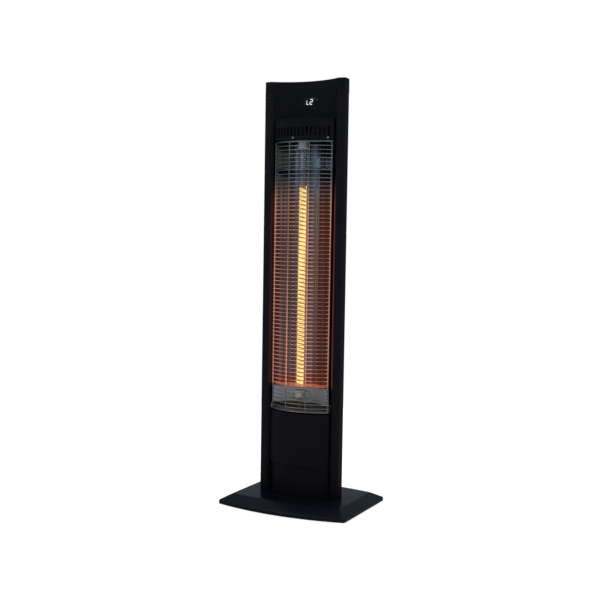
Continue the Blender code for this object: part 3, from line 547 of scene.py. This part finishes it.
def perforated(name, columns, rows, solid, place):
    """A sheet on a grid with some cells left open. place(side, column, row) gives a corner; side 0 is the
    front."""
    shape = bmesh.new()
    wide, high = len(columns) - 1, len(rows) - 1
    grid = [[[shape.verts.new(place(side, c, r)) for c in columns] for r in rows] for side in (0, 1)]

    def filled(row, column):
        return 0 <= row < high and 0 <= column < wide and solid(row, column)

    for row in range(high):
        for column in range(wide):
            if not filled(row, column):
                continue
            corners = ((row, column), (row, column + 1), (row + 1, column + 1), (row + 1, column))
            shape.faces.new([grid[0][r][c] for r, c in corners])
            shape.faces.new([grid[1][r][c] for r, c in reversed(corners)])
            neighbours = ((row - 1, column), (row, column + 1), (row + 1, column), (row, column - 1))
            for i, (r, c) in enumerate(neighbours):
                if not filled(r, c):
                    (r0, c0), (r1, c1) = corners[i], corners[(i + 1) % 4]
                    edge = (grid[0][r0][c0], grid[1][r0][c0], grid[1][r1][c1], grid[0][r1][c1])
                    shape.faces.new(edge)
    bmesh.ops.delete(shape, geom=[v for v in shape.verts if not v.link_faces], context="VERTS")
    bmesh.ops.recalc_face_normals(shape, faces=shape.faces)
    mesh = bpy.data.meshes.new(name)
    shape.to_mesh(mesh)
    shape.free()
    return mesh


def softened_edges(made, width=0.0003, angle=50.0):
    step = made.modifiers.new("soft_edges", "BEVEL")
    step.width = width
    step.segments = 2
    step.limit_method = "ANGLE"
    step.angle_limit = math.radians(angle)
    step.use_clamp_overlap = True
    return made


def drilled(made, shapes):
    """Cuts holes through a piece and keeps the result as its mesh."""
    cutter = bpy.data.objects.new("drill", joined("drill", shapes))
    bpy.context.scene.collection.objects.link(cutter)
    step = made.modifiers.new("drill", "BOOLEAN")
    step.operation = "DIFFERENCE"
    step.solver = "EXACT"
    step.object = cutter
    graph = bpy.context.evaluated_depsgraph_get()
    mesh = bpy.data.meshes.new_from_object(made.evaluated_get(graph))
    made.modifiers.remove(step)
    made.data = mesh
    bpy.data.objects.remove(cutter, do_unlink=True)
    return made


# ---------------------------------------------------------------- plinth

PLINTH_LOW, PLINTH_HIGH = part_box("base_cover")
PLATEAU_Z = PLINTH_HIGH.z
PLATEAU_HALF_X, PLATEAU_HALF_Y = 0.123, 0.0768
PLATEAU_BOW = 0.012
RIM_TOP = 0.0080
RIM_HALF_Y = 0.0995
RIM_BOW = PLINTH_HIGH.y - RIM_HALF_Y
TIP_HOLE, SCREW_HOLE = 0.0030, 0.0024


def plinth_outline(half_x, half_y, sagitta, corner, steps=40):
    """Straight sides, and a front and rear that bulge by the sagitta."""
    radius = (half_x**2 + sagitta**2) / (2 * sagitta)
    front = bow(radius, radius - sagitta - half_y, half_x, steps, -1)
    outline = front + [(-x, -y) for x, y in front]
    return eased(outline, corner, {0, steps, steps + 1, 2 * steps + 1}, steps=8)


def plinth():
    """The plinth's hollow shell: thin rim, sloping border and flat plateau."""
    rim = plinth_outline(PLINTH_HIGH.x, RIM_HALF_Y, RIM_BOW, 0.0045)
    top = plinth_outline(PLATEAU_HALF_X, PLATEAU_HALF_Y, PLATEAU_BOW, 0.0025)

    def between(share, z, inset=0.0):
        loop = [tuple(Vector(a).lerp(Vector(b), share)) for a, b in zip(rim, top)]
        return at_height(offset(loop, inset) if inset else loop, z)

    def corner(before, here, after):
        """Loops round one edge of the section, from (share, z) points."""
        a, b, c = Vector(before), Vector(here), Vector(after)
        return [tuple(a.lerp(b, t).lerp(b.lerp(c, t), t)) for t in spread(0, 1, 4)]

    rise = PLATEAU_Z - RIM_TOP
    loops = [
        between(1.0, PLATEAU_Z - WALL, WALL),
        between(0.0, RIM_TOP - 0.001, WALL),
        between(0.0, PLINTH_LOW.z, WALL),
        between(0.0, PLINTH_LOW.z, 0.0004),
        between(0.0, PLINTH_LOW.z + 0.0004),
    ]
    sections = corner((0.0, RIM_TOP - 0.0012), (0.0, RIM_TOP), (0.055, RIM_TOP + 0.055 * rise))
    sections += corner((0.95, PLATEAU_Z - 0.05 * rise), (1.0, PLATEAU_Z), (1.06, PLATEAU_Z))
    loops += [between(share, z) for share, z in sections]
    mesh = joined("plinth_shell", [skin(loops)])
    made = piece("plinth_shell", mesh, PLINTH, ["base_cover"])
    low, high = PLATEAU_Z - 0.006, PLATEAU_Z + 0.006
    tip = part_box("tip_plunger")
    centre = (tip[0] + tip[1]) / 2
    holes = [peg(centre.x, centre.y, TIP_HOLE, low, high)]
    for i in range(1, 5):
        box_low, box_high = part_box(f"base_screw_{i}")
        middle = (box_low + box_high) / 2
        holes.append(peg(middle.x, middle.y, SCREW_HOLE, low, high, 24))
    drilled(made, holes)


def feet():
    profile = (
        (0.0048, 0.0006), (0.0060, 0.0006), (0.0064, 0.0), (0.0082, 0.0), (0.0090, 0.0003), (0.0095, 0.0010),
        (0.0095, 0.0021), (0.0092, 0.0025), (0.0040, 0.0025), (0.0040, 0.0060), (0.0038, 0.0062),
    )
    for name in ("foot_front_left", "foot_front_right", "foot_rear_left", "foot_rear_right"):
        low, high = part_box(name)
        place = Matrix.Translation(((low.x + high.x) / 2, (low.y + high.y) / 2, 0))
        mesh = joined("pad_" + name, [moved(turned(profile), place)])
        piece("pad_" + name, mesh, RUBBER, [name])


# ---------------------------------------------------------------- column shell


def wings():
    """Two folded profiles: lip, slope up to the ridge, flat front, side, taper and rear lip."""
    depths = (
        (0.0689, 0.020), (0.0707, 0.020), (0.0707, 0.0043), (RIDGE_X, 0.0), (WING_X, WING_DEPTHS[0]),
        (WING_X, WING_DEPTHS[1]), (REAR_X, COLUMN_DEPTH), (0.0610, COLUMN_DEPTH),
    )
    path = [(x, RIDGE_Y + depth) for x, depth in depths]
    outer = eased(path, 0.0013, closed=False, steps=5)
    inner = eased(offset(path, SHEET, closed=False), 0.0004, closed=False, steps=5)
    outline = outer + inner[::-1]
    for name, side in (("left_wing", -1), ("right_wing", 1)):
        shaped = outline if side > 0 else mirrored(outline)
        mesh = joined("column_" + name, [rounded_prism(shaped, COLUMN_Z, WING_TOP, 0.00025)])
        piece("column_" + name, mesh, WING, [name])


def cap():
    """The hollow cap, with a scooped front and a rounded top edge."""
    low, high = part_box("top_cap")
    right = [(high.x, RIDGE_Y + depth) for depth in WING_DEPTHS] + [(REAR_X, high.y)]
    front = scoop_bow(0, RIDGE_X)
    outline = front + right + mirrored(right)
    last = len(front)
    corners = {0, last - 1, *range(last, len(outline))}

    def level(inset, z):
        corner = max(0.0018 - inset, 0.0005)
        return at_height(eased(offset(outline, inset), corner, corners, steps=5), z)

    edge = 0.0012
    loops = [level(WALL, high.z - WALL), level(WALL, low.z), level(0.0002, low.z), level(0.0, low.z + 0.0002)]
    for t in spread(math.pi / 2, 0, 5):
        loops.append(level(edge * (1 - math.sin(t)), high.z - edge * (1 - math.cos(t))))
    mesh = joined("crown_cap", [skin(loops)])
    piece("crown_cap", mesh, BODY, ["top_cap"])


def scoop_spot(x, z, proud=0.0):
    """A point on the scooped front."""
    radius = SCOOP_RADIUS - proud
    return (x, SCOOP_AXIS_Y + math.sqrt(radius**2 - x**2), z)


def display():
    low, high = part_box("display_panel")
    lens_low, lens_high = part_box("display_window")
    reach = math.asin(high.x / SCOOP_RADIUS)
    window = math.asin((lens_high.x + GAP) / SCOOP_RADIUS)
    sides = spread(window, reach, 14)
    columns = [-a for a in reversed(sides)] + spread(-window, window, 8)[1:-1] + sides
    rows = [low.z, lens_low.z - GAP, lens_high.z + GAP, high.z]

    def place(side, angle, z):
        radius = SCOOP_RADIUS + side * SHEET
        return (radius * math.sin(angle), SCOOP_AXIS_Y + radius * math.cos(angle), z)

    def solid(row, column):
        return row != 1 or abs(columns[column] + columns[column + 1]) / 2 > window

    mesh = perforated("display_fascia", columns, rows, solid, place)
    softened_edges(piece("display_fascia", mesh, BODY, ["display_panel"]), 0.00035)
    half = lens_high.x
    outline = scoop_bow(0.0001, half, 20) + scoop_bow(SHEET, half, 20)[::-1]
    mesh = joined("display_lens", [rounded_prism(mirrored(outline), lens_low.z, lens_high.z, 0.00025)])
    piece("display_lens", mesh, LENS, ["display_window"])


TOUCH_SPOTS = ((0.0068, 0.8246), (0.0140, 0.8236))
SEGMENTS = {
    "a": ((0, 2), (1, 2)), "b": ((1, 1), (1, 2)), "c": ((1, 0), (1, 1)), "d": ((0, 0), (1, 0)),
    "e": ((0, 0), (0, 1)), "f": ((0, 1), (0, 2)), "g": ((0, 1), (1, 1)),
}


def digit_shapes(lit_segments, left, middle_z, width, height, stroke):
    """Slanted seven-segment strokes laid on the lens."""
    shapes = []
    slant = 0.08
    for letter in lit_segments:
        (x0, z0), (x1, z1) = SEGMENTS[letter]
        start = Vector((left + x0 * width, middle_z + (z0 - 1) * height / 2))
        end = Vector((left + x1 * width, middle_z + (z1 - 1) * height / 2))
        along = (end - start).normalized()
        across = Vector((-along.y, along.x)) * stroke / 2
        tip = along * stroke / 2
        start, end = start + tip * 0.3, end - tip * 0.3
        outline = [start, start + tip + across, end - tip + across]
        outline += [end, end - tip - across, start + tip - across]
        outline = [(p.x + slant * (p.y - middle_z), p.y) for p in outline]
        loops = [[scoop_spot(x, z, proud) for x, z in outline] for proud in (0.00002, 0.00012)]
        shapes.append(skin(loops))
    return shapes


def touch_mark(x, z):
    """A thin ring on the lens."""
    inner, outer = 0.0012, 0.0016
    sunk, proud = 0.00002, 0.00010
    section = ((inner, sunk), (outer, sunk), (outer, proud), (inner, proud))
    loops = []
    for a in spread(0, 2 * math.pi, 28)[:-1]:
        loops.append([scoop_spot(x + r * math.cos(a), z + r * math.sin(a), lift) for r, lift in section])
    return skin(loops, closed_ring=True)


def readout():
    """The level number behind the lens, the status light beside it and the faint touch marks below it."""
    lens_low, lens_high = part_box("display_window")
    middle = (lens_low.z + lens_high.z) / 2
    stroke = 0.0014
    shapes = digit_shapes("fed", -0.0054, middle - 0.0010, 0.0046, 0.0082, stroke)
    shapes += digit_shapes("abged", 0.0020, middle - 0.0001, 0.0058, 0.0100, stroke)
    piece("level_digits", joined("level_digits", shapes), DIGIT)
    low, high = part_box("status_light")
    dot = moved(turned(((0.0009, -0.0006), (0.0012, -0.0003), (0.0012, 0.0030)), 32), facing_rear())
    dot = moved(dot, Matrix.Translation(scoop_spot((low.x + high.x) / 2, (low.z + high.z) / 2)))
    piece("status_dot", joined("status_dot", [dot]), STATUS, ["status_light"])
    marks = [touch_mark(x, z) for x, z in TOUCH_SPOTS]
    piece("touch_marks", joined("touch_marks", marks), ICON)


def facing_rear():
    return Matrix.Rotation(-math.pi / 2, 4, "X")


def facing_front(turn=0.0):
    return Matrix.Rotation(turn, 4, "Z") @ Matrix.Rotation(math.pi / 2, 4, "X")


# ---------------------------------------------------------------- vent block

VENT_SLOTS = 15
VENT_PITCH = 0.0090 / FRONT_RADIUS
VENT_WIDTH = 0.0040 / FRONT_RADIUS
SLOT_Z = (0.7640, 0.7830)


def vent_block():
    """The convex block with upright slots, its sides and its shelf."""
    low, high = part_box("vent_panel")
    half, rear = high.x, high.y
    reach = math.asin(half / FRONT_RADIUS)
    edges = []
    for i in range(VENT_SLOTS):
        middle = (i - (VENT_SLOTS - 1) / 2) * VENT_PITCH
        edges += [middle - VENT_WIDTH / 2, middle + VENT_WIDTH / 2]
    left = [(-1, rear), (-1, (rear + RIDGE_Y) / 2)] + spread(-reach, edges[0], 2)[:-1]
    columns = left + edges
    columns += spread(edges[-1], reach, 2)[1:] + [(1, (rear + RIDGE_Y) / 2), (1, rear)]
    rows = [low.z, SLOT_Z[0], SLOT_Z[1], high.z - WALL]

    def place(side, column, z):
        inset = side * WALL
        if isinstance(column, tuple):
            return (column[0] * (half - inset), column[1], z)
        angle = column
        if abs(abs(column) - reach) < 1e-9:
            angle = math.copysign(math.asin((half - inset) / (FRONT_RADIUS - inset)), column)
        return on_front(angle, z, inset)

    def solid(row, column):
        k = column - len(left)
        return row != 1 or not (0 <= k < 2 * VENT_SLOTS and k % 2 == 0)

    mesh = perforated("vent_hood", columns, rows, solid, place)
    hood = softened_edges(piece("vent_hood", mesh, BODY, ["vent_panel"]), 0.00035)
    hood.data.set_sharp_from_angle(angle=math.radians(45))
    front = front_bow(0, half)
    outline = eased(front + [(half, rear), (-half, rear)], 0.0012, {0, len(front) - 1}, steps=4)
    mesh = joined("vent_shelf", [rounded_prism(outline, high.z - WALL, high.z, 0.0006)])
    piece("vent_shelf", mesh, BODY)


def screw_head(radius, height, shank, depth, slot_width, slot_depth):
    """A pan-head screw with a cross recess, its head towards +Z and its seat at Z 0."""
    profile = [(shank * 0.8, -depth), (shank, -depth + shank * 0.4), (shank, 0.0), (radius, 0.0)]
    for t in spread(0, math.pi / 2, 6)[:-1]:
        profile.append((radius * (0.45 + 0.55 * math.cos(t)), height * (0.25 + 0.75 * math.sin(t))))
    profile.append((radius * 0.30, height))
    head = turned(profile, 40)
    top = height + 0.001
    cutters = []
    for wide, deep in ((radius * 1.15, slot_width), (slot_width, radius * 1.15)):
        outline = rectangle(-wide / 2, wide / 2, -deep / 2, deep / 2)
        cutters.append(skin([at_height(outline, height - slot_depth), at_height(outline, top)]))
    return head, cutters


def screw(name, node, place, radius, height, shank, depth):
    """One bright screw. depth is its shank's length."""
    head, cutters = screw_head(radius, height, shank, depth, radius * 0.32, height * 0.75)
    made = piece(name, joined(name, [moved(head, place)]), SCREW, [node])
    for cutter in cutters:
        drilled(made, [moved(cutter, place)])
    made.data.set_sharp_from_angle(angle=math.radians(35))


def front_screws():
    for name, x in (("vent_screw_left", -0.0133), ("vent_screw_right", 0.0582)):
        low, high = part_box(name)
        turn = math.asin(x / FRONT_RADIUS)
        spot = on_front(turn, (low.z + high.z) / 2)
        place = Matrix.Translation(spot) @ facing_front(turn) @ Matrix.Rotation(x * 20, 4, "Z")
        screw("bright_" + name, name, place, radius=0.0021, height=0.0016, shank=0.0012, depth=0.0060)


def rear_screws():
    for i in range(1, 5):
        low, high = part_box(f"rear_screw_{i}")
        spot = ((low.x + high.x) / 2, REAR_FACE_Y, (low.z + high.z) / 2)
        place = Matrix.Translation(spot) @ facing_rear() @ Matrix.Rotation(0.7 * i, 4, "Z")
        name = f"rear_screw_{i}"
        screw(f"panel_screw_{i}", name, place, radius=0.0034, height=0.0021, shank=0.0015, depth=0.0020)


# ---------------------------------------------------------------- guard

GUARD_LOW, GUARD_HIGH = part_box("guard_grille")
CROSS_WIRES = 69
WIRE = 0.00075
POST = 0.0011
GUARD_BAYS = 3


def guard():
    """Bowed cross wires spot-welded to the front of four uprights."""
    reach = math.asin(GUARD_HIGH.x / FRONT_RADIUS) - 0.004
    shapes = []
    for z in spread(GUARD_LOW.z + WIRE, GUARD_HIGH.z - WIRE, CROSS_WIRES - 1):
        path = [on_front(a, z, WIRE) for a in spread(-reach, reach, 28)]
        shapes.append(pipe(path, WIRE, 8, (0, 0, 1)))
    post_reach = reach - 0.009
    for angle in spread(-post_reach, post_reach, GUARD_BAYS):
        path = [on_front(angle, z, 2 * WIRE + POST * 0.8) for z in spread(GUARD_LOW.z, GUARD_HIGH.z, 24)]
        shapes.append(pipe(path, POST, 10, (1, 0, 0)))
    piece("wire_guard", joined("wire_guard", shapes), CHROME, ["guard_grille"], angle=60.0)


# ---------------------------------------------------------------- heating unit

REFLECTOR_SHEET = 0.0008
REFLECTOR_PROFILE = (
    (0.0655, 0.0030), (0.0524, 0.0132), (0.0432, 0.0197), (0.0328, 0.0248), (0.0252, 0.0286),
    (0.0179, 0.0305), (0.0, 0.0222),
)


def reflector_path():
    right = [(x, RIDGE_Y + depth) for x, depth in REFLECTOR_PROFILE]
    return [(-x, y) for x, y in right] + right[-2::-1]


def reflector():
    low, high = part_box("reflector")
    path = reflector_path()
    front = eased(path, 0.0012, closed=False, steps=4)
    back = eased(offset(path, REFLECTOR_SHEET, closed=False), 0.0010, closed=False, steps=4)
    outline = front + back[::-1]
    mesh = joined("mirror_trough", [rounded_prism(outline, low.z, high.z, 0.00015, 2)])
    piece("mirror_trough", mesh, MIRROR, ["reflector"], angle=25.0)


def baffle_outline(inset):
    inner = offset(reflector_path(), -inset, closed=False)
    half = 0.0625
    return front_bow(0.005, half) + [(x, y) for x, y in reversed(inner) if abs(x) < half]


def baffles():
    for name in ("upper_baffle", "lower_baffle"):
        low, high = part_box(name)
        mesh = joined("plate_" + name, [rounded_prism(baffle_outline(0.0006), low.z, high.z, 0.00025)])
        look = LIT_PLATE if name == "lower_baffle" else MIRROR
        made = piece("plate_" + name, mesh, look, [name])
        drilled(made, [peg(0, TUBE_Y, TUBE_RADIUS + 0.0006, low.z - 0.002, high.z + 0.002)])


def tray():
    """The tray under the tube: a floor with a hole for the lead, and walls on its sides and rear."""
    low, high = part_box("cavity_floor")
    half, rear = high.x, high.y
    front = front_bow(0.004, half)
    last = len(front) - 1
    floor_z = low.z + 0.0012
    outline = eased(front + [(half, rear), (-half, rear)], 0.0015, {0, last, last + 1, last + 2})
    pan = rounded_prism(outline, low.z, floor_z, 0.0003)
    made = piece("lower_tray", joined("lower_tray", [pan]), TRAY, ["cavity_floor"])
    drilled(made, [peg(0, TUBE_Y, 0.0030, low.z - 0.002, low.z + 0.004, 32)])
    wall = [(-half, RIDGE_Y), (-half, rear), (half, rear), (half, RIDGE_Y)]
    wall = eased(wall, 0.0015, closed=False)
    strip = wall + offset(wall, -SHEET, closed=False)[::-1]
    sides = rounded_prism(strip[::-1], floor_z - 0.0003, high.z, 0.0003)
    piece("lower_tray_sides", joined("lower_tray_sides", [sides]), TRAY)


def heating_tube():
    low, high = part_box("quartz_tube")
    bore = 0.0083
    rings = ring(eased(rectangle(bore, TUBE_RADIUS, low.z, high.z), 0.0004), 72)
    mesh = joined("quartz_glass", [moved(rings, Matrix.Translation((0, TUBE_Y, 0)))])
    piece("quartz_glass", mesh, QUARTZ, ["quartz_tube"])


def ribbon():
    """The carbon ribbon, wound left-handed, with a crowned outer face."""
    low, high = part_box("heating_coil")
    width, pitch, thickness, radius = 0.0060, 0.0085, 0.0007, 0.0072
    z0, z1 = low.z + width / 2, high.z - width / 2
    turns = round((z1 - z0) / pitch)
    around = 28
    section = (
        (-thickness, -0.96), (-0.00035, -1.0), (-0.00010, -0.80), (0.0, -0.40),
        (0.0, 0.40), (-0.00010, 0.80), (-0.00035, 1.0), (-thickness, 0.96),
    )
    loops = []
    for i in range(turns * around + 1):
        angle = -2 * math.pi * i / around
        z = z0 + (z1 - z0) * i / (turns * around)
        loop = []
        for inwards, up in section:
            reach = radius + inwards
            loop.append((reach * math.cos(angle), TUBE_Y + reach * math.sin(angle), z + up * width / 2))
        loops.append(loop)
    mesh = joined("glow_ribbon", [skin(loops)])
    made = piece("glow_ribbon", mesh, [RIBBON, RIBBON_INSIDE], ["heating_coil"], angle=60.0)
    # painted shade: faces turned towards the tube's axis get the dimmer inner ribbon look
    for polygon in made.data.polygons:
        middle = polygon.center
        outward = Vector((middle.x, middle.y - TUBE_Y, 0)).normalized()
        if polygon.normal.dot(outward) < -0.5:
            polygon.material_index = 1


def sockets():
    """The ceramic caps on the tube's ends, each with a hole for its lead."""
    lead_hole, bore, outer = 0.0022, TUBE_RADIUS + 0.0004, 0.0110
    for name, away in (("lower_tube_cap", -1), ("upper_tube_cap", 1)):
        low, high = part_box(name)
        far, near = (low.z, high.z) if away < 0 else (high.z, low.z)
        step = far - away * 0.0064
        section = [(lead_hole, far), (outer, far), (outer, near), (bore, near), (bore, step)]
        section.append((lead_hole, step))
        rings = ring(eased(section, 0.0005), 56)
        mesh = joined("socket_" + name, [moved(rings, Matrix.Translation((0, TUBE_Y, 0)))])
        piece("socket_" + name, mesh, CERAMIC, [name])


def clips():
    """Open rings that hold the ceramic caps from behind."""
    radius = 0.0115
    reach = math.radians(130)
    arc = [(radius * math.sin(a), TUBE_Y + radius * math.cos(a)) for a in spread(-reach, reach, 40)]
    outline = arc + offset(arc, 0.0008, closed=False)[::-1]
    for name in ("lower_tube_clip", "upper_tube_clip"):
        low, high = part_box(name)
        mesh = joined("spring_" + name, [rounded_prism(outline, low.z, high.z, 0.0002, 2)])
        piece("spring_" + name, mesh, ZINC, [name])


def smooth_path(points, steps=10):
    """A smooth curve through the points."""
    guide = [Vector(p) for p in points]
    guide = [2 * guide[0] - guide[1]] + guide + [2 * guide[-1] - guide[-2]]
    path = []
    for i in range(1, len(guide) - 2):
        a, b, c, d = guide[i - 1 : i + 3]
        for t in spread(0, 1, steps)[: steps + 1 if i == len(guide) - 3 else steps]:
            bend = 2 * a - 5 * b + 4 * c - d
            path.append(0.5 * (2 * b + (c - a) * t + bend * t**2 + (3 * b - a - 3 * c + d) * t**3))
    return path


def leads():
    low_end, high_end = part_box("quartz_tube")
    rear = RIDGE_Y + 0.050
    routes = {
        "lower_lead": (
            (0, TUBE_Y, low_end.z - 0.001), (0, TUBE_Y, 0.190), (0.004, RIDGE_Y + 0.016, 0.160),
            (0.010, rear, 0.120), (0.022, rear, 0.098),
        ),
        "upper_lead": (
            (0, TUBE_Y, high_end.z + 0.001), (0, TUBE_Y, 0.764), (0.012, RIDGE_Y + 0.018, 0.776),
            (0.024, RIDGE_Y + 0.034, 0.782),
        ),
    }
    for name, points in routes.items():
        mesh = joined("sleeve_" + name, [pipe(smooth_path(points), 0.0013, 14)])
        piece("sleeve_" + name, mesh, SLEEVE, [name], angle=60.0)


# ---------------------------------------------------------------- lower front

SKIRT_INSET = 0.0036
RETURN_DEPTH = 0.018


def channel(inset, half):
    """The convex front with a return at each side, as an outline."""
    rear = RIDGE_Y + RETURN_DEPTH
    path = [(-half, rear)] + front_bow(inset, half) + [(half, rear)]
    corners = {1, len(path) - 2}
    outer = eased(path, 0.0012, corners)
    return outer + eased(offset(path, SHEET, closed=False), 0.0004, corners)[::-1]


def kick_panel():
    """The convex panel under the guard, with rounded lower corners."""
    low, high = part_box("lower_panel")
    half, corner = high.x, 0.010
    reach = math.asin(half / FRONT_RADIUS)

    def place(side, angle, share):
        past = max(0.0, FRONT_RADIUS * abs(math.sin(angle)) - (half - corner))
        lift = corner - math.sqrt(max(0.0, corner**2 - past**2))
        return on_front(angle, low.z + lift + (high.z - low.z - lift) * share, side * SHEET)

    columns, rows = spread(-reach, reach, 64), spread(0, 1, 24)
    mesh = perforated("kick_panel", columns, rows, lambda row, column: True, place)
    softened_edges(piece("kick_panel", mesh, BODY, ["lower_panel"]), 0.0004)


def lower_skirt():
    low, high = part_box("lower_fascia")
    mesh = joined("lower_skirt", [rounded_prism(channel(SKIRT_INSET, high.x), low.z, high.z)])
    piece("lower_skirt", mesh, BODY, ["lower_fascia"])


def kick_panel_returns():
    """The panel's folded sides, behind its ends."""
    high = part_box("lower_panel")[1]
    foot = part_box("lower_fascia")[1].z + GAP
    shapes = []
    for side in (-1, 1):
        edges = sorted((side * high.x, side * (high.x - SHEET)))
        outline = rectangle(*edges, RIDGE_Y + SKIRT_INSET, RIDGE_Y + RETURN_DEPTH)
        shapes.append(rounded_prism(outline, foot, high.z))
    piece("kick_panel_returns", joined("kick_panel_returns", shapes), BODY)


# ---------------------------------------------------------------- CAD nodes that stay


def carried_over():
    """CAD shapes that are right as they are: welded, with their edges softened, in finished materials."""
    looks = {
        "ballast_plate": ZINC, "base_floor": PLASTIC,
        "column_bracket_left": ZINC, "column_bracket_right": ZINC,
        "base_screw_1": SCREW, "base_screw_2": SCREW, "base_screw_3": SCREW, "base_screw_4": SCREW,
        "tip_switch_housing": PLASTIC, "tip_spring": ZINC, "tip_microswitch": PLASTIC, "tip_plunger": WHITE,
        "rear_panel": BODY, "led_display": PLASTIC, "display_board": BOARD, "control_board": BOARD,
        "power_relay": RELAY_CASE, "terminal_block": DARK_CERAMIC, "heat_shield": ZINC,
        "mains_switch_frame": PLASTIC, "mains_switch_rocker": PLASTIC, "cable_gland": PLASTIC,
    }
    for name, look in looks.items():
        node = NODES[name]
        node.data.materials.clear()
        node.data.materials.append(look)
        if name in ("tip_spring", "cable_gland", "tip_plunger"):
            continue
        weld = node.modifiers.new("weld", "WELD")
        weld.merge_threshold = 0.000002
        softened_edges(node, 0.00025)


# ---------------------------------------------------------------- studio


def flat_look(name, colour, roughness):
    """A pale, faintly lit surface that is seen darker in reflections."""
    look = Look(name)
    haze = look.noise(2.0, 2.0)
    low = tuple(0.985 * c for c in colour)
    look.feed("Base Color", look.blend(look.ranged(haze, 0.0, 1.0), low, colour))
    look.feed("Roughness", roughness)
    look.feed("Emission Color", (1.0, 1.0, 1.0, 1.0))
    look.feed("Emission Strength", 0.45)
    dull = look.node("ShaderNodeBsdfDiffuse", {"Color": (0.24, 0.26, 0.30, 1.0)}).outputs[0]
    glossy = look.node("ShaderNodeLightPath").outputs["Is Glossy Ray"]
    mix = look.node("ShaderNodeMixShader", {0: glossy, 1: look.shader.outputs[0], 2: dull})
    output = look.tree.nodes["Material Output"]
    look.tree.links.new(mix.outputs[0], output.inputs["Surface"])
    return look.material


def studio_floor():
    mesh = joined("floor", [peg(0, 0, 1.2, -0.02, 0.0, 96)])
    mesh.materials.append(flat_look("pale_floor", (0.86, 0.86, 0.86), 0.75))
    floor = bpy.data.objects.new("floor", mesh)
    bpy.context.scene.collection.objects.link(floor)


def backdrop():
    """Even white light, a dimmer blue-grey surround in reflections, and plain white for the camera."""
    world = bpy.data.worlds.new("studio")
    bpy.context.scene.world = world
    world.use_nodes = True
    tree = world.node_tree
    tree.nodes.clear()
    path = tree.nodes.new("ShaderNodeLightPath")
    surrounds = []
    for colour, strength in (((1.0, 1.0, 1.0), 0.62), ((0.70, 0.86, 1.0), 0.23), ((1.0, 1.0, 1.0), 1.0)):
        surround = tree.nodes.new("ShaderNodeBackground")
        surround.inputs["Color"].default_value = (*colour, 1.0)
        surround.inputs["Strength"].default_value = strength
        surrounds.append(surround)
    shown = surrounds[0]
    for ray, surround in (("Is Glossy Ray", surrounds[1]), ("Is Camera Ray", surrounds[2])):
        mix = tree.nodes.new("ShaderNodeMixShader")
        tree.links.new(path.outputs[ray], mix.inputs[0])
        tree.links.new(shown.outputs[0], mix.inputs[1])
        tree.links.new(surround.outputs[0], mix.inputs[2])
        shown = mix
    output = tree.nodes.new("ShaderNodeOutputWorld")
    tree.links.new(shown.outputs[0], output.inputs["Surface"])


def lamps():
    for name, spot, size, power, in_reflections in (
        ("key_light", (-2.4, -2.6, 3.2), 2.6, 18.0, True),
        ("fill_light", (2.8, -1.6, 2.2), 2.4, 10.0, True),
        ("back_light", (0.4, 3.0, 3.0), 2.6, 26.0, False),
        ("top_light", (0.0, 0.0, 5.0), 6.0, 60.0, True),
    ):
        data = bpy.data.lights.new(name, "AREA")
        data.shape = "DISK"
        data.size = size
        data.energy = power
        lamp = bpy.data.objects.new(name, data)
        lamp.visible_glossy = in_reflections
        lamp.location = spot
        aim = Vector((0, 0, 0.45)) - Vector(spot)
        lamp.rotation_euler = aim.to_track_quat("-Z", "Y").to_euler()
        bpy.context.scene.collection.objects.link(lamp)


CAMERA_SPOT = (0.9428, -1.8555, 0.5595)
CAMERA_YAW, CAMERA_PITCH, CAMERA_ROLL = (math.radians(turn) for turn in (27.23, 3.62, 0.906))
CAMERA_LENS = 59.92


def camera():
    forward = Vector(
        (
            -math.sin(CAMERA_YAW) * math.cos(CAMERA_PITCH),
            math.cos(CAMERA_YAW) * math.cos(CAMERA_PITCH),
            -math.sin(CAMERA_PITCH),
        )
    )
    right = forward.cross(Vector((0, 0, 1))).normalized()
    up = right.cross(forward)
    rolled_right = math.cos(CAMERA_ROLL) * right + math.sin(CAMERA_ROLL) * up
    rolled_up = -math.sin(CAMERA_ROLL) * right + math.cos(CAMERA_ROLL) * up
    data = bpy.data.cameras.new("camera")
    data.lens = CAMERA_LENS
    data.sensor_width = 36.0
    data.clip_start = 0.01
    made = bpy.data.objects.new("camera", data)
    turn = Matrix((rolled_right, rolled_up, -forward)).transposed().to_4x4()
    made.matrix_world = Matrix.Translation(CAMERA_SPOT) @ turn
    bpy.context.scene.collection.objects.link(made)
    bpy.context.scene.camera = made


plinth()
feet()
wings()
cap()
display()
readout()
vent_block()
front_screws()
rear_screws()
guard()
reflector()
baffles()
tray()
heating_tube()
ribbon()
sockets()
clips()
leads()
kick_panel()
lower_skirt()
kick_panel_returns()
carried_over()
bpy.context.scene.view_settings.view_transform = "Standard"
studio_floor()
backdrop()
lamps()
camera()
